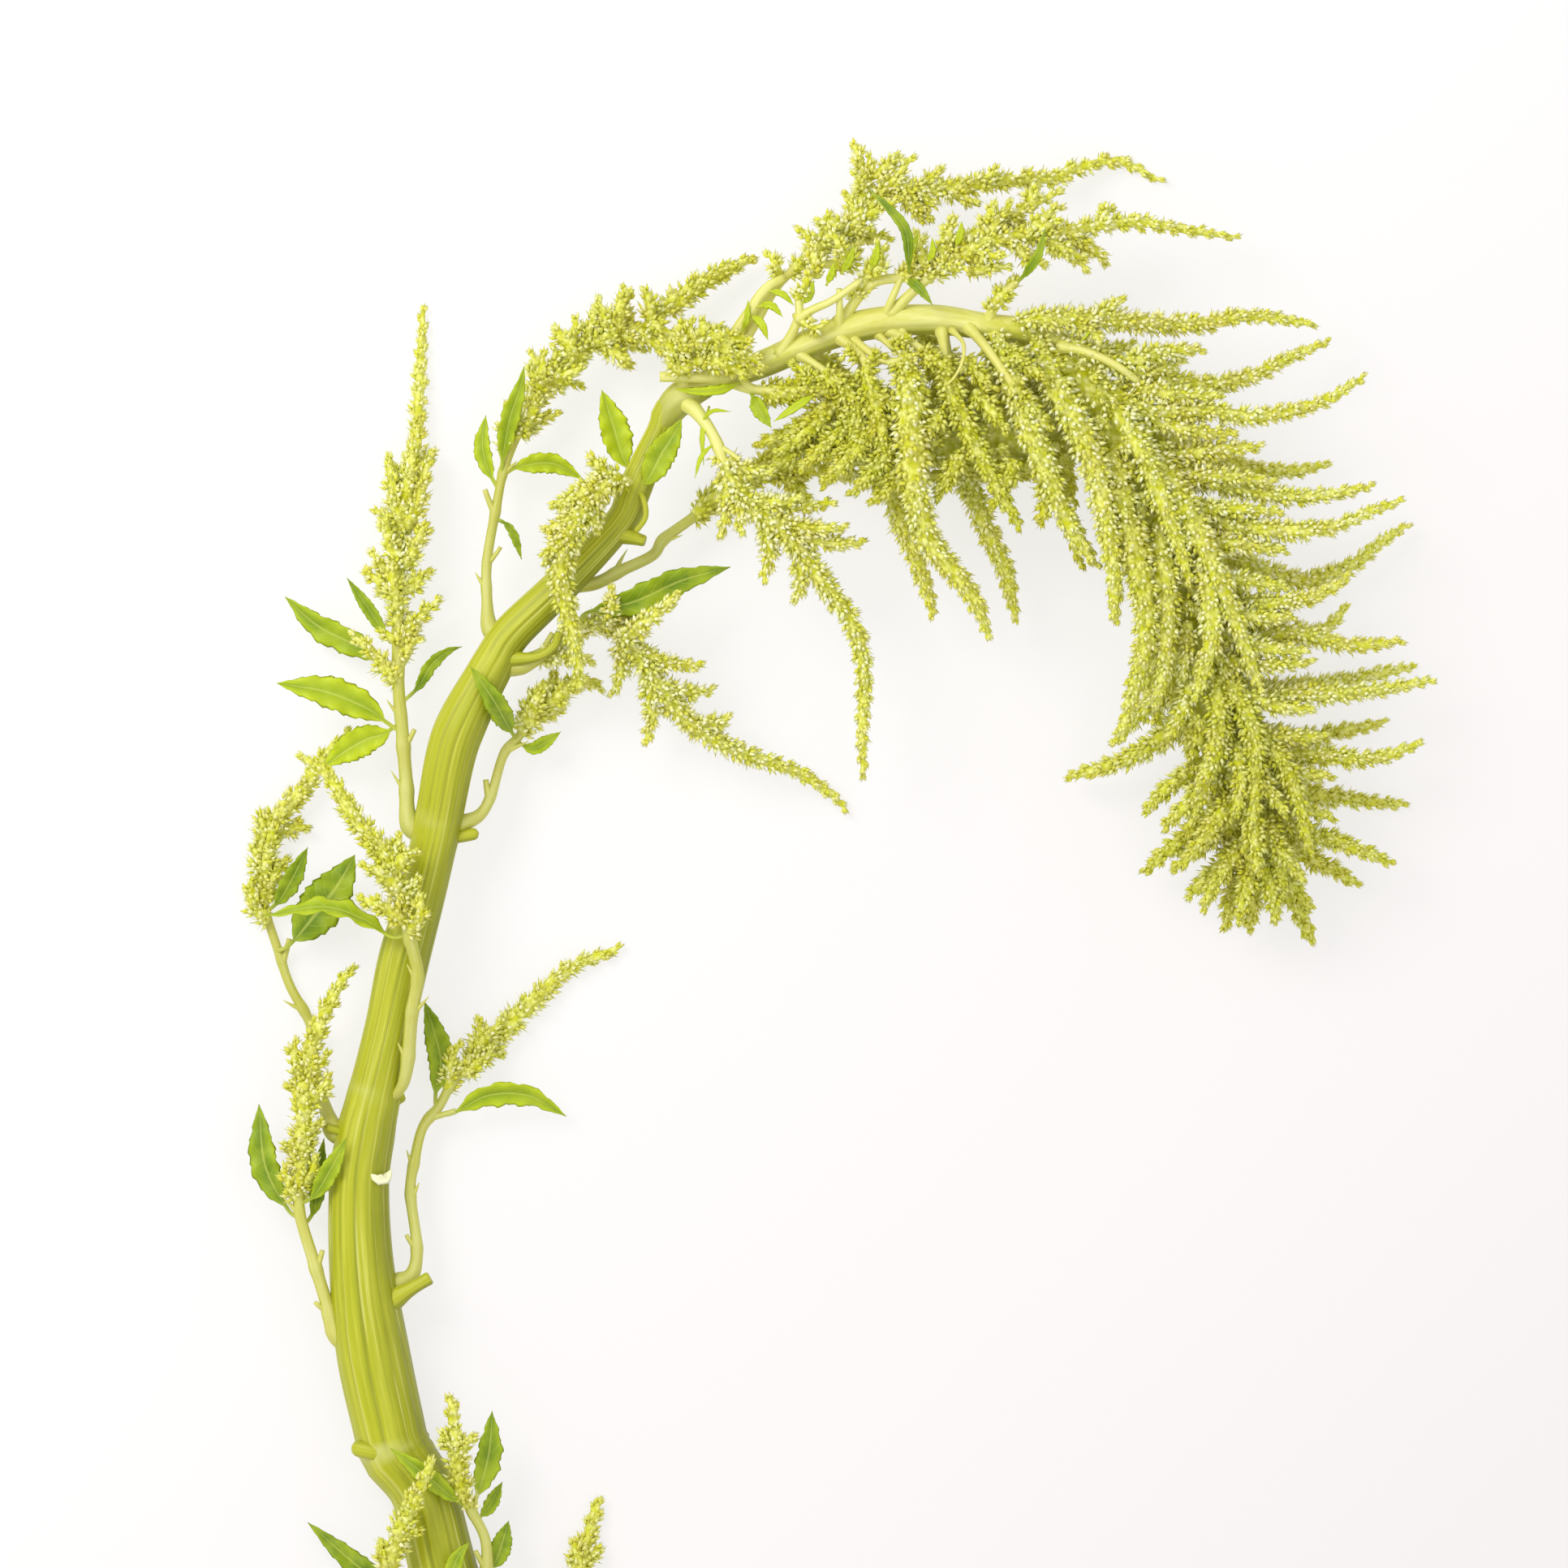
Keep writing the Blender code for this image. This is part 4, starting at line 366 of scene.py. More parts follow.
# points at even steps along a smooth curve through the given ones: each span is the cubic
# half of 2b + (c - a) t + (2a - 5b + 4c - d) t^2 + (3b - a - 3c + d) t^3
def smoothRoute(points, gap):
    knots = np.asarray(points, dtype=float)
    padded = np.vstack([2 * knots[0] - knots[1], knots, 2 * knots[-1] - knots[-2]])
    t = np.linspace(0, 1, spanPoints, endpoint=False)[None, :, None]
    a, b, c, d = (padded[k:len(padded) - 3 + k, None, :] for k in range(4))
    spans = 0.5 * (2 * b + (c - a) * t + (2 * a - 5 * b + 4 * c - d) * t ** 2
                   + (3 * b - a - 3 * c + d) * t ** 3)
    fine = np.vstack([spans.reshape(-1, knots.shape[1]), knots[-1:]])
    steps = np.linalg.norm(np.diff(fine[:, :3], axis=0), axis=1)
    along = np.concatenate([[0], np.cumsum(steps)])
    count = max(2, int(round(along[-1] / gap)) + 1)
    wanted = np.linspace(0, along[-1], count)
    return np.column_stack([np.interp(wanted, along, fine[:, k]) for k in range(fine.shape[1])])


def partOfRoute(points, start, end):    # the stretch between two fractions of the length
    last = len(points) - 1
    first = int(round(start * last))
    return points[first:max(first + 1, int(round(end * last))) + 1]


def resampled(points, count):    # the same stretch with another number of points
    own = np.arange(len(points))
    at = np.linspace(0, len(points) - 1, count)
    return np.column_stack([np.interp(at, own, points[:, k]) for k in range(points.shape[1])])


def unitVectors(vectors):
    return vectors / np.maximum(np.linalg.norm(vectors, axis=-1, keepdims=True), tiny)


# tangent, sideways and upward directions at each point: sideways is level, upward is square to both
def framesAlong(points):
    tangents = np.gradient(points[:, :3], axis=0)
    tangents /= np.linalg.norm(tangents, axis=1)[:, None]
    sideways = np.cross(zAxis, tangents)
    lengths = np.linalg.norm(sideways, axis=1)[:, None]
    sideways = np.where(lengths > steepest, sideways / np.maximum(lengths, tiny), xAxis)
    return tangents, sideways, np.cross(tangents, sideways)


def squareTo(along):    # two directions that are square to each given one
    helper = np.where(np.abs(along[:, 2:]) < nearlyUpright, [zAxis], [xAxis])
    side = unitVectors(np.cross(helper, along))
    return side, np.cross(along, side)


def turnsRound(sides):    # the angle of each point of a ring
    return 2 * math.pi * np.arange(sides) / sides


def stepsAlong(route, gap):    # how far along a route of even steps each point is
    return gap * np.arange(len(route))


# triangles between rings of points, then fans to the two points that close the ends
def ringFaces(rings, sides):
    here = np.arange(sides)
    after = (here + 1) % sides
    rows = sides * np.arange(rings - 1)[:, None]
    a, b = (rows + here).ravel(), (rows + after).ravel()
    last, count = (rings - 1) * sides, rings * sides
    return np.vstack([np.column_stack([a, b, b + sides]), np.column_stack([a, b + sides, a + sides]),
                      np.column_stack([np.full(sides, count), after, here]),
                      np.column_stack([np.full(sides, count + 1), last + here, last + after])])


def withEnds(values, first=0.0, last=0.0):    # values ring by ring, and one at each closing point
    return np.append(values.ravel(), [first, last])


# a tube: centre + r(angle) (cos(angle) sideways + sin(angle) upward), with a point in the middle of
# each end; its grain holds cos(angle), sin(angle) and the length along the tube
def tubeSurface(centres, radii, sides):
    _, sideways, upward = framesAlong(centres)
    angle = turnsRound(sides)
    reach = np.broadcast_to(np.asarray(radii, dtype=float).reshape(len(centres), -1), (len(centres), sides))
    ring = np.cos(angle)[None, :, None] * sideways[:, None] + np.sin(angle)[None, :, None] * upward[:, None]
    skin = centres[:, None, :3] + reach[..., None] * ring
    points = np.vstack([skin.reshape(-1, 3), centres[:1, :3], centres[-1:, :3]])
    lengths = np.concatenate([[0], np.cumsum(np.linalg.norm(np.diff(centres[:, :3], axis=0), axis=1))])
    grain = np.column_stack([np.tile(np.cos(angle), len(centres)), np.tile(np.sin(angle), len(centres)),
                             np.repeat(lengths, sides)])
    grain = np.vstack([grain, [[0, 0, 0]], [[0, 0, lengths[-1]]]])
    return points, ringFaces(len(centres), sides), grain


def addTube(pile, route, radii, sides, **values):
    points, faces, grain = tubeSurface(route, radii, sides)
    pile.add(points, faces, grain=grain, **values)


class MeshPile:    # gathers surfaces into one mesh, with values at their points
    def __init__(self):
        self.points, self.faces, self.values, self.count = [], [], {}, 0

    def add(self, points, faces, **values):
        self.points.append(points)
        self.faces.append(faces + self.count)
        for name, value in values.items():
            value = np.asarray(value, dtype=float)
            full = np.broadcast_to(value, (len(points),) + value.shape[1:])
            self.values.setdefault(name, []).append(full)
        self.count += len(points)

    # one smooth mesh in metres about the frame's origin, with nothing under the floor
    def finish(self, name, material, slotName, *nodes):
        placed = (np.vstack(self.points) - [*drawingMiddle, 0.0]) * mm
        placed[:, 2] = np.maximum(placed[:, 2], 0.0)
        faces = np.vstack(self.faces).astype(np.int32)
        mesh = bpy.data.meshes.new(name)
        mesh.vertices.add(len(placed))
        mesh.vertices.foreach_set("co", placed.astype(np.float32).ravel())
        mesh.loops.add(faces.size)
        mesh.loops.foreach_set("vertex_index", faces.ravel())
        mesh.polygons.add(len(faces))
        mesh.polygons.foreach_set("loop_start", np.arange(0, faces.size, 3, dtype=np.int32))
        mesh.polygons.foreach_set("use_smooth", np.ones(len(faces), dtype=bool))
        for valueName, parts in self.values.items():
            joined = np.concatenate(parts).astype(np.float32)
            kind, field = ("FLOAT_VECTOR", "vector") if joined.ndim == 2 else ("FLOAT", "value")
            mesh.attributes.new(valueName, kind, "POINT").data.foreach_set(field, joined.ravel())
        mesh.update(calc_edges=True)
        mesh.validate()
        mesh.materials.append(material)
        piece = bpy.data.objects.new(name, mesh)
        bpy.context.scene.collection.objects.link(piece)
        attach(piece, "root")
        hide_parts(*nodes)
        print(name, len(faces), "triangles")


# Finishes

# a colour as a screen shows it, from 0 to 255, turned into light by the sRGB curve
def colour(red, green, blue):
    shares = [level / 255 for level in (red, green, blue)]
    return [s / 12.92 if s <= 0.04045 else ((s + 0.055) / 1.055) ** 2.4 for s in shares] + [1.0]


def addNode(tree, kind, inputs=None, **settings):    # each input is a number, a colour or a socket to join
    node = tree.nodes.new(kind)
    for name, value in settings.items():
        setattr(node, name, value)
    for name, value in (inputs or {}).items():
        if isinstance(value, bpy.types.NodeSocket):
            tree.links.new(value, node.inputs[name])
        else:
            node.inputs[name].default_value = value
    return node


def newMaterial(name, finish):
    material = bpy.data.materials.new(name)
    material.use_nodes = True
    shader = material.node_tree.nodes["Principled BSDF"]
    shader.inputs["Roughness"].default_value = finish["roughness"]
    shader.inputs["Specular IOR Level"].default_value = finish["specular"]
    return material, material.node_tree, shader


def dress(tree, shader, base, height, relief):    # a skin's colour, and fine relief from a height
    bumps = addNode(tree, "ShaderNodeBump", {"Height": height, **relief})
    tree.links.new(base, shader.inputs["Base Color"])
    tree.links.new(bumps.outputs[0], shader.inputs["Normal"])


def readValue(tree, name, kind="Fac"):    # a value that the mesh holds at its points
    return addNode(tree, "ShaderNodeAttribute", attribute_name=name).outputs[kind]


def ownPlace(tree):    # the place in the object's own space
    return addNode(tree, "ShaderNodeTexCoord").outputs["Object"]


def mathNode(tree, operation, first, second=0.0):
    return addNode(tree, "ShaderNodeMath", {0: first, 1: second}, operation=operation).outputs[0]


def mapRange(tree, value, fromMin, fromMax, toMin=0.0, toMax=1.0):
    return addNode(tree, "ShaderNodeMapRange", {"Value": value, "From Min": fromMin, "From Max": fromMax,
                                                "To Min": toMin, "To Max": toMax}).outputs[0]


def noise(tree, place, scale, detail, roughness=0.5):
    return addNode(tree, "ShaderNodeTexNoise", {"Vector": place, "Scale": scale, "Detail": detail,
                                                "Roughness": roughness}).outputs["Fac"]


def mixColours(tree, factor, first, second, blend="MIX"):
    return addNode(tree, "ShaderNodeMix", {0: factor, 6: first, 7: second}, data_type="RGBA",
                   blend_type=blend).outputs[2]


def ramp(tree, factor, positions, colours):    # the first two colours take the ramp's own two stops
    node = addNode(tree, "ShaderNodeValToRGB", {"Fac": factor})
    elements = node.color_ramp.elements
    while len(elements) < len(colours):
        elements.new(1.0)
    for element, position, value in zip(elements, positions, colours):
        element.position = position
        element.color = value
    return node.outputs["Color"]


def newGroup(name, inputs, outputs):    # an empty group, and the sockets that it is given
    group = bpy.data.node_groups.new(name, "ShaderNodeTree")
    for socketName, (kind, value) in inputs.items():
        socket = group.interface.new_socket(socketName, in_out="INPUT", socket_type="NodeSocket" + kind)
        if value is not None:
            socket.default_value = value
    for socketName, kind in outputs.items():
        group.interface.new_socket(socketName, in_out="OUTPUT", socket_type="NodeSocket" + kind)
    return group, addNode(group, "NodeGroupInput").outputs


def closeGroup(group, **results):
    addNode(group, "NodeGroupOutput", results)
    return group


def placeGroup(tree, group, inputs):
    return addNode(tree, "ShaderNodeGroup", inputs, node_tree=group).outputs


# fine lines along a stem: noise read fast round the stem and slowly along it
def streakGroup():
    group, given = newGroup("stemStreaks", {"Grain": ("Vector", None), "Round": ("Float", 4.0),
                                            "Along": ("Float", 0.03)}, {"Streak": "Float", "Height": "Float"})
    stretch = addNode(group, "ShaderNodeCombineXYZ", {"X": given["Round"], "Y": given["Round"],
                                                      "Z": given["Along"]})
    placed = addNode(group, "ShaderNodeVectorMath", {0: given["Grain"], 1: stretch.outputs[0]},
                     operation="MULTIPLY").outputs[0]
    return closeGroup(group, Streak=noise(group, placed, scale=1.0, detail=4.0, roughness=0.6),
                      Height=noise(group, placed, scale=3.6, detail=2.0))


# soft patches of a second colour and a fine grain, both read in the object's own space
def mottleGroup():
    group, given = newGroup("plantMottle", {
        "Colour": ("Color", (0.5, 0.5, 0.5, 1.0)), "Patch Colour": ("Color", (0.4, 0.4, 0.2, 1.0)),
        "Amount": ("Float", 0.5), "Size": ("Float", 60.0)}, {"Colour": "Color", "Height": "Float"})
    place = ownPlace(group)
    patches = noise(group, place, scale=given["Size"], detail=3.0)
    share = mapRange(group, patches, fromMin=0.42, fromMax=0.66)
    amount = mathNode(group, "MULTIPLY", share, given["Amount"])
    return closeGroup(group, Colour=mixColours(group, amount, given["Colour"], given["Patch Colour"]),
                      Height=noise(group, place, scale=1400.0, detail=2.0))


# small buds packed over a core: pale at the middle of each Voronoi cell and deep between the cells, as
# painted shade between the buds
def buddingGroup():
    group, given = newGroup("packedBuds", {
        "Colour": ("Color", (0.5, 0.5, 0.5, 1.0)), "Pale": ("Color", (0.8, 0.8, 0.4, 1.0)),
        "Deep": ("Color", (0.3, 0.3, 0.1, 1.0)), "Share": ("Float", 0.0)},
        {"Colour": "Color", "Height": "Float"})
    cells = addNode(group, "ShaderNodeTexVoronoi", {"Vector": ownPlace(group), "Scale": 460.0})
    top = mapRange(group, cells.outputs["Distance"], fromMin=0.15, fromMax=0.75, toMin=1.0, toMax=0.0)
    packed = mixColours(group, top, given["Deep"], given["Pale"])
    return closeGroup(group, Colour=mixColours(group, given["Share"], given["Colour"], packed),
                      Height=mathNode(group, "MULTIPLY", top, given["Share"]))


streaks = streakGroup()
mottle = mottleGroup()
budding = buddingGroup()

# in the finishes a range gives the two values between which a mask changes, then the mask at each
stemFinish = {
    "roughness": 0.42, "specular": 0.4,
    "pale": colour(208, 208, 72), "green": colour(168, 174, 14), "deep": colour(116, 122, 6),
    "line": colour(230, 228, 132), "patch": colour(184, 187, 28), "cut": colour(226, 224, 160),
    "broad": {"Round": 3.0, "Along": 0.02}, "broadStops": (0.30, 0.52, 0.72),
    "fine": {"Round": 9.0, "Along": 0.012}, "paleLines": (0.56, 0.66), "paleShare": 0.5,
    # the side range paints shade on the stem's right side, away from the light; the dark lines are the stem's
    # own
    "darkLines": (0.44, 0.36, 0.0, 0.36), "paintedShadeSide": (-0.12, -0.85, 0.0, 0.6),
    "patches": {"Amount": 0.35, "Size": 34.0}, "grainShare": 0.25,
    "relief": {"Strength": 0.35, "Distance": 0.0004},
}


def stemMaterial(look):
    material, tree, shader = newMaterial("stemSkin", look)
    grain = readValue(tree, "grain", "Vector")
    broad = placeGroup(tree, streaks, {"Grain": grain, **look["broad"]})["Streak"]
    base = ramp(tree, broad, look["broadStops"], (look["green"], look["patch"], look["pale"]))
    # painted shade: the stem's right side, away from the light, takes the deep colour
    side = addNode(tree, "ShaderNodeSeparateXYZ", {0: grain}).outputs["X"]
    sided = mixColours(tree, mapRange(tree, side, *look["paintedShadeSide"]), base, look["deep"])
    # painted shade in the grooves and node creases
    grooved = mixColours(tree, readValue(tree, "groove"), sided, look["deep"])
    fine = placeGroup(tree, streaks, {"Grain": grain, **look["fine"]})["Streak"]
    darkened = mixColours(tree, mapRange(tree, fine, *look["darkLines"]), grooved, look["deep"])
    pale = mathNode(tree, "MULTIPLY", mapRange(tree, fine, *look["paleLines"]), look["paleShare"])
    lined = mixColours(tree, pale, darkened, look["line"])
    scarred = mixColours(tree, readValue(tree, "scar"), lined, look["cut"])
    spotted = placeGroup(tree, mottle, {"Colour": scarred, "Patch Colour": look["patch"], **look["patches"]})
    ended = mixColours(tree, readValue(tree, "cut"), spotted["Colour"], look["cut"])
    height = mathNode(tree, "ADD", fine, mathNode(tree, "MULTIPLY", spotted["Height"], look["grainShare"]))
    dress(tree, shader, ended, height, look["relief"])
    return material


stalkFinish = {
    "roughness": 0.45, "specular": 0.4,
    "pale": colour(236, 233, 146), "green": colour(206, 208, 62), "foot": colour(214, 204, 88),
    # under is an olive: painted shade on the arch's lower side and in its flutes, and the own olive tone of
    # spray stalks and stubs
    "under": colour(138, 144, 18), "underShare": 0.62,
    "broad": {"Round": 1.6, "Along": 0.05}, "broadStops": (0.32, 0.62),
    "patches": {"Amount": 0.4, "Size": 55.0}, "relief": {"Strength": 0.25, "Distance": 0.0002},
}


def stalkMaterial(look):
    material, tree, shader = newMaterial("stalkSkin", look)
    broad = placeGroup(tree, streaks, {"Grain": readValue(tree, "grain", "Vector"), **look["broad"]})
    base = ramp(tree, broad["Streak"], look["broadStops"], (look["green"], look["pale"]))
    spotted = placeGroup(tree, mottle, {"Colour": base, "Patch Colour": look["foot"], **look["patches"]})
    # the under value mixes in the olive, as painted shade on the arch and as the own tone of spray stalks
    under = mathNode(tree, "MULTIPLY", readValue(tree, "under"), look["underShare"])
    shaded = mixColours(tree, under, spotted["Colour"], look["under"])
    dress(tree, shader, shaded, mathNode(tree, "ADD", broad["Height"], spotted["Height"]), look["relief"])
    return material


floretFinish = {
    "roughness": 0.48, "specular": 0.45,
    # inside, the dark colour at the foot of florets and on the cores, is partly painted shade between the
    # florets; cream toward the tips is partly their own pale colour and partly a painted highlight
    "inside": colour(210, 212, 20), "base": colour(222, 223, 52), "green": colour(232, 233, 72),
    "pale": colour(248, 248, 146), "cream": colour(255, 255, 220), "warm": colour(224, 200, 52),
    "greenStops": (0.1, 0.45, 0.95), "creamStops": (0.0, 0.3, 0.65),    # from a floret's foot to its tip
    "patches": {"Amount": 0.22, "Size": 90.0}, "grainShare": 0.1,
    "relief": {"Strength": 0.6, "Distance": 0.0009},
}


def floretMaterial(look):
    material, tree, shader = newMaterial("floretSkin", look)
    reach = readValue(tree, "reach")
    green = ramp(tree, reach, look["greenStops"], (look["inside"], look["base"], look["green"]))
    cream = ramp(tree, reach, look["creamStops"], (look["base"], look["pale"], look["cream"]))
    toned = mixColours(tree, readValue(tree, "tone"), green, cream)
    # painted shade: the shade value darkens the colour by multiplying in the base colour
    dimmed = mixColours(tree, readValue(tree, "shade"), toned, look["base"], "MULTIPLY")
    spotted = placeGroup(tree, mottle, {"Colour": dimmed, "Patch Colour": look["warm"], **look["patches"]})
    buds = placeGroup(tree, budding, {"Colour": spotted["Colour"], "Pale": look["pale"],
                                      "Deep": look["inside"], "Share": readValue(tree, "core")})
    grain = mathNode(tree, "MULTIPLY", spotted["Height"], look["grainShare"])
    dress(tree, shader, buds["Colour"], mathNode(tree, "ADD", grain, buds["Height"]), look["relief"])
    return material


leafFinish = {
    "roughness": 0.5, "specular": 0.35,
    # deep, green and lime: a leaf's tint picks its colour between them, partly its own tone and partly
    # painted light and shade, lime where it shone with light from behind
    "deep": colour(92, 124, 4), "green": colour(140, 166, 8), "light": colour(184, 200, 40),
    "vein": colour(204, 214, 96), "lime": colour(196, 212, 24), "petiole": colour(206, 208, 92),
    "edgeTint": (0.15, 0.8, -0.22, 0.2), "stops": (0.0, 0.5, 1.0),
    "sideVeins": 11.0, "veinSlant": 1.6, "sideVein": (0.0, 0.10, 1.0, 0.0), "sideShare": 0.5,
    "midrib": (0.03, 0.12, 1.0, 0.0), "veinShare": 0.5, "petioleEnd": (0.0, 0.22, 1.0, 0.0),
    "patches": {"Amount": 0.55, "Size": 120.0}, "grainShare": 0.3,
    "relief": {"Strength": 0.5, "Distance": 0.0003},
}


# midrib where |across| is small; side veins where along times a count, less a share of |across|,
# is halfway between two whole numbers
def leafMaterial(look):
    material, tree, shader = newMaterial("leafSkin", look)
    place = addNode(tree, "ShaderNodeSeparateXYZ", {0: readValue(tree, "blade", "Vector")}).outputs
    across = mathNode(tree, "ABSOLUTE", place["X"])
    # the tint is partly the leaf's own tone and partly painted light and shade, and goes lighter toward the
    # edges
    tint = mathNode(tree, "ADD", place["Z"], mapRange(tree, across, *look["edgeTint"]))
    body = ramp(tree, tint, look["stops"], (look["deep"], look["green"], look["lime"]))
    spotted = placeGroup(tree, mottle, {"Colour": body, "Patch Colour": look["light"], **look["patches"]})
    slant = mathNode(tree, "SUBTRACT", mathNode(tree, "MULTIPLY", place["Y"], look["sideVeins"]),
                     mathNode(tree, "MULTIPLY", across, look["veinSlant"]))
    wave = mathNode(tree, "ABSOLUTE", mathNode(tree, "SUBTRACT", mathNode(tree, "FRACT", slant), 0.5))
    sideVein = mathNode(tree, "MULTIPLY", mapRange(tree, wave, *look["sideVein"]), look["sideShare"])
    veins = mathNode(tree, "MAXIMUM", sideVein, mapRange(tree, across, *look["midrib"]))
    veined = mixColours(tree, mathNode(tree, "MULTIPLY", veins, look["veinShare"]), spotted["Colour"],
                        look["vein"])
    ended = mixColours(tree, mapRange(tree, place["Y"], *look["petioleEnd"]), veined, look["petiole"])
    grain = mathNode(tree, "MULTIPLY", spotted["Height"], look["grainShare"])
    dress(tree, shader, ended, mathNode(tree, "SUBTRACT", grain, veins), look["relief"])
    return material


stemSkin = stemMaterial(stemFinish)
stalkSkin = stalkMaterial(stalkFinish)
floretSkin = floretMaterial(floretFinish)
leafSkin = leafMaterial(leafFinish)
print("finishes made")

# Main stem

stemLook = {
    "sides": 100, "ringGap": 2.3,
    "fullness": 1.03,    # its ridges stand this much out of the listed thickness
    # degrees round the stem, half width in degrees, depth as a share of the radius
    "grooves": [(14, 4, 0.014), (30, 3, 0.008), (44, 3.5, 0.026), (58, 3, 0.008), (74, 3, 0.046),
                (86, 2.5, 0.010), (98, 3, 0.012), (112, 4, 0.030), (127, 3, 0.012), (143, 3.5, 0.040),
                (160, 3, 0.014), (182, 5, 0.030), (214, 5, 0.030), (248, 5, 0.040), (285, 5, 0.030),
                (325, 5, 0.036)],
    "twist": 0.0011,    # radians for each mm
    # the deep colour in the grooves and node creases is painted shade
    "deepest": 0.066,    # a groove this deep has the full dark colour
    # old leaf nodes: mm from the cut end, how far it swells, over how many mm, and the depth of its scar
    "nodes": [(75, 0.075, 2.6, 0.075), (186, 0.03, 3.0, 0.018), (272, 0.03, 3.2, 0.015),
              (326, 0.035, 4.0, 0.0)],
    "nodeTilt": 1.5, "nodeTurn": 0.6,    # mm by which a node's ring is tilted, and towards which angle
    "creaseHalf": 0.9, "scarUp": 2.6, "scarHalf": 1.6, "scarAngle": 0.9, "paleScar": 0.08, "palest": 0.8,
    "cutDepth": 0.8,
    "stubSides": 24, "stubGap": 0.6, "stubFlare": 1.3, "stubFlareLength": 7.0, "stubBulb": 0.12,
    "stubRim": 0.86, "stubHollow": 0.5,
    "rounded": ("low_knob", "upper_petiole", "left_petiole", "curled_petiole"), "roundest": 0.02,
}


# r = R(s) (1 - sum of depth exp(-((angle - groove - twist s) / width)^2))
def grooveMask(lengths, angle, look):
    mask = np.zeros((len(lengths), len(angle)))
    for place, width, depth in look["grooves"]:
        apart = angle[None] - math.radians(place) - look["twist"] * lengths[:, None]
        apart = (apart + math.pi) % (2 * math.pi) - math.pi
        mask += depth * np.exp(-(apart / math.radians(width)) ** 2)
    return mask


# a cut stub flares into the stem and swells a little to its rim; a rounded one ends as a half ball
def stubRadii(lengths, radius, rounded, look):
    if rounded:
        capped = ((lengths - lengths[-1] + radius) / radius).clip(0, 1)
        return radius * np.sqrt(np.clip(1 - capped ** 2, look["roundest"], 1))
    radii = radius * (1 + look["stubFlare"] * np.exp(-(lengths / look["stubFlareLength"]) ** 2)
                      + look["stubBulb"] * (lengths / lengths[-1]) ** 4)
    radii[-1] *= look["stubRim"]
    return radii


def buildStem(look):
    pile = MeshPile()
    fine = smoothRoute(mainStem, look["ringGap"])
    lengths, angle = stepsAlong(fine, look["ringGap"]), turnsRound(look["sides"])
    mask = grooveMask(lengths, angle, look)
    scars = np.zeros_like(mask)
    for place, swell, spread, scar in look["nodes"]:
        apart = lengths[:, None] - place - look["nodeTilt"] * np.cos(angle + look["nodeTurn"])[None]
        mask += scar * np.exp(-(apart / look["creaseHalf"]) ** 2) - swell * np.exp(-(apart / spread) ** 2)
        facing = np.clip(np.cos(angle - look["scarAngle"]), 0, 1)[None] ** 2
        scars += scar * np.exp(-((apart - look["scarUp"]) / look["scarHalf"]) ** 2) * facing
    points, faces, grain = tubeSurface(fine, fine[:, 3:4] / 2 * (look["fullness"] - mask), look["sides"])
    points[-2] += look["cutDepth"] * framesAlong(fine)[0][0]
    # the groove value carries painted shade of the grooves and creases; the scar value is the pale of old
    # leaf scars
    pile.add(points, faces, grain=grain, groove=withEnds(np.clip(mask / look["deepest"], 0, 1)),
             cut=withEnds(np.zeros(mask.size), first=1.0),
             scar=withEnds(np.clip(scars / look["paleScar"], 0, look["palest"])))
    for name, (route, radius) in stemStubs.items():
        fine = smoothRoute(route, look["stubGap"])
        radii = stubRadii(stepsAlong(fine, look["stubGap"]), radius, name in look["rounded"], look)
        points, faces, grain = tubeSurface(fine, radii, look["stubSides"])
        points[-1] -= look["stubHollow"] * (fine[-1, :3] - fine[-2, :3])
        pile.add(points, faces, grain=grain, groove=0.0, cut=withEnds(np.zeros(len(points) - 2), last=1.0),
                 scar=0.0)
    pile.finish("main_stem_skin", stemSkin, "stem", "main_stem")


buildStem(stemLook)
print("stem made")

# Spikes of flowers

spikeLook = {
    "clusterArea": 44.0,    # mm2 of a thick spike's skin for each cluster of florets
    "thick": 5.5, "thinShare": 0.17,    # a spike of this radius is thick, and a thin one has closer clusters
    "turnVaries": 0.25,    # how far clusters stray from their places round the spike, in radians
    # a spike is full, tapers from a fraction of its length, and a short one tapers more
    "fringe": 1.36, "foot": 0.7, "footRise": 2.0, "taper": 0.5, "taperFrom": 0.15, "taperPower": 1.2,
    "short": 26, "shortRate": 3.0, "shortTaper": 0.62, "point": 0.12, "blunt": 0.3,
    # its core: radius as a share of the spike's, mm between rings, and its end and fat cores
    "coreShare": 0.55, "coreGap": 2.4, "coreSides": 8, "coreEnd": 0.4, "fatFrom": 8.0, "fatSides": 3,
    # the core takes the dark inside colour, partly painted shade under the florets
    "coreReach": 0.3, "coreTone": 0.15,
    # a cluster is a dome of florets: its size, how wide they fan out, and how they lean to the spike's tip
    "dome": 0.47, "domeVaries": (0.78, 1.18), "domeSpread": 82.0, "spreadVaries": (0.75, 1.15),
    "domeLean": 0.2, "fan": 0.95, "out": 0.35, "lean": 0.72, "tipLean": 2.0, "footVaries": (0.8, 1.1),
    "lowestSeat": 0.1,
    "reach": 1.1,    # mm that a floret's tip stands out of its dome
    # a dome's body: half its width and its height in domes, mm more of both, and how it leans
    "lump": (0.95, 0.85), "lumpMore": 0.2, "lumpLean": 0.35, "lumpTones": (0.25, 0.6), "lumpCore": 0.55,
    "lumpTop": 0.8, "floretTop": 0.6,    # where a shape is tested for lying open
    # a share of florets get cream tips, partly their own pale colour and partly a painted highlight
    "creamShare": 0.52, "creamTones": (0.65, 1.0), "greenTones": (0.0, 0.45), "greenTip": 0.5,
    "smallTip": 0.38, "slimTip": 0.6,    # florets are shorter near the tip, and slimmer by a share of that
    "buried": 2.0, "nearby": 16.0, "lowest": 0.25,    # mm under a skin, mm searched, mm above the floor
}
# the side sprays and the crown have larger, greener clusters that stand apart
sprayLook = dict(spikeLook, clusterArea=60.0, dome=0.60, domeVaries=(0.72, 1.25), creamShare=0.34)


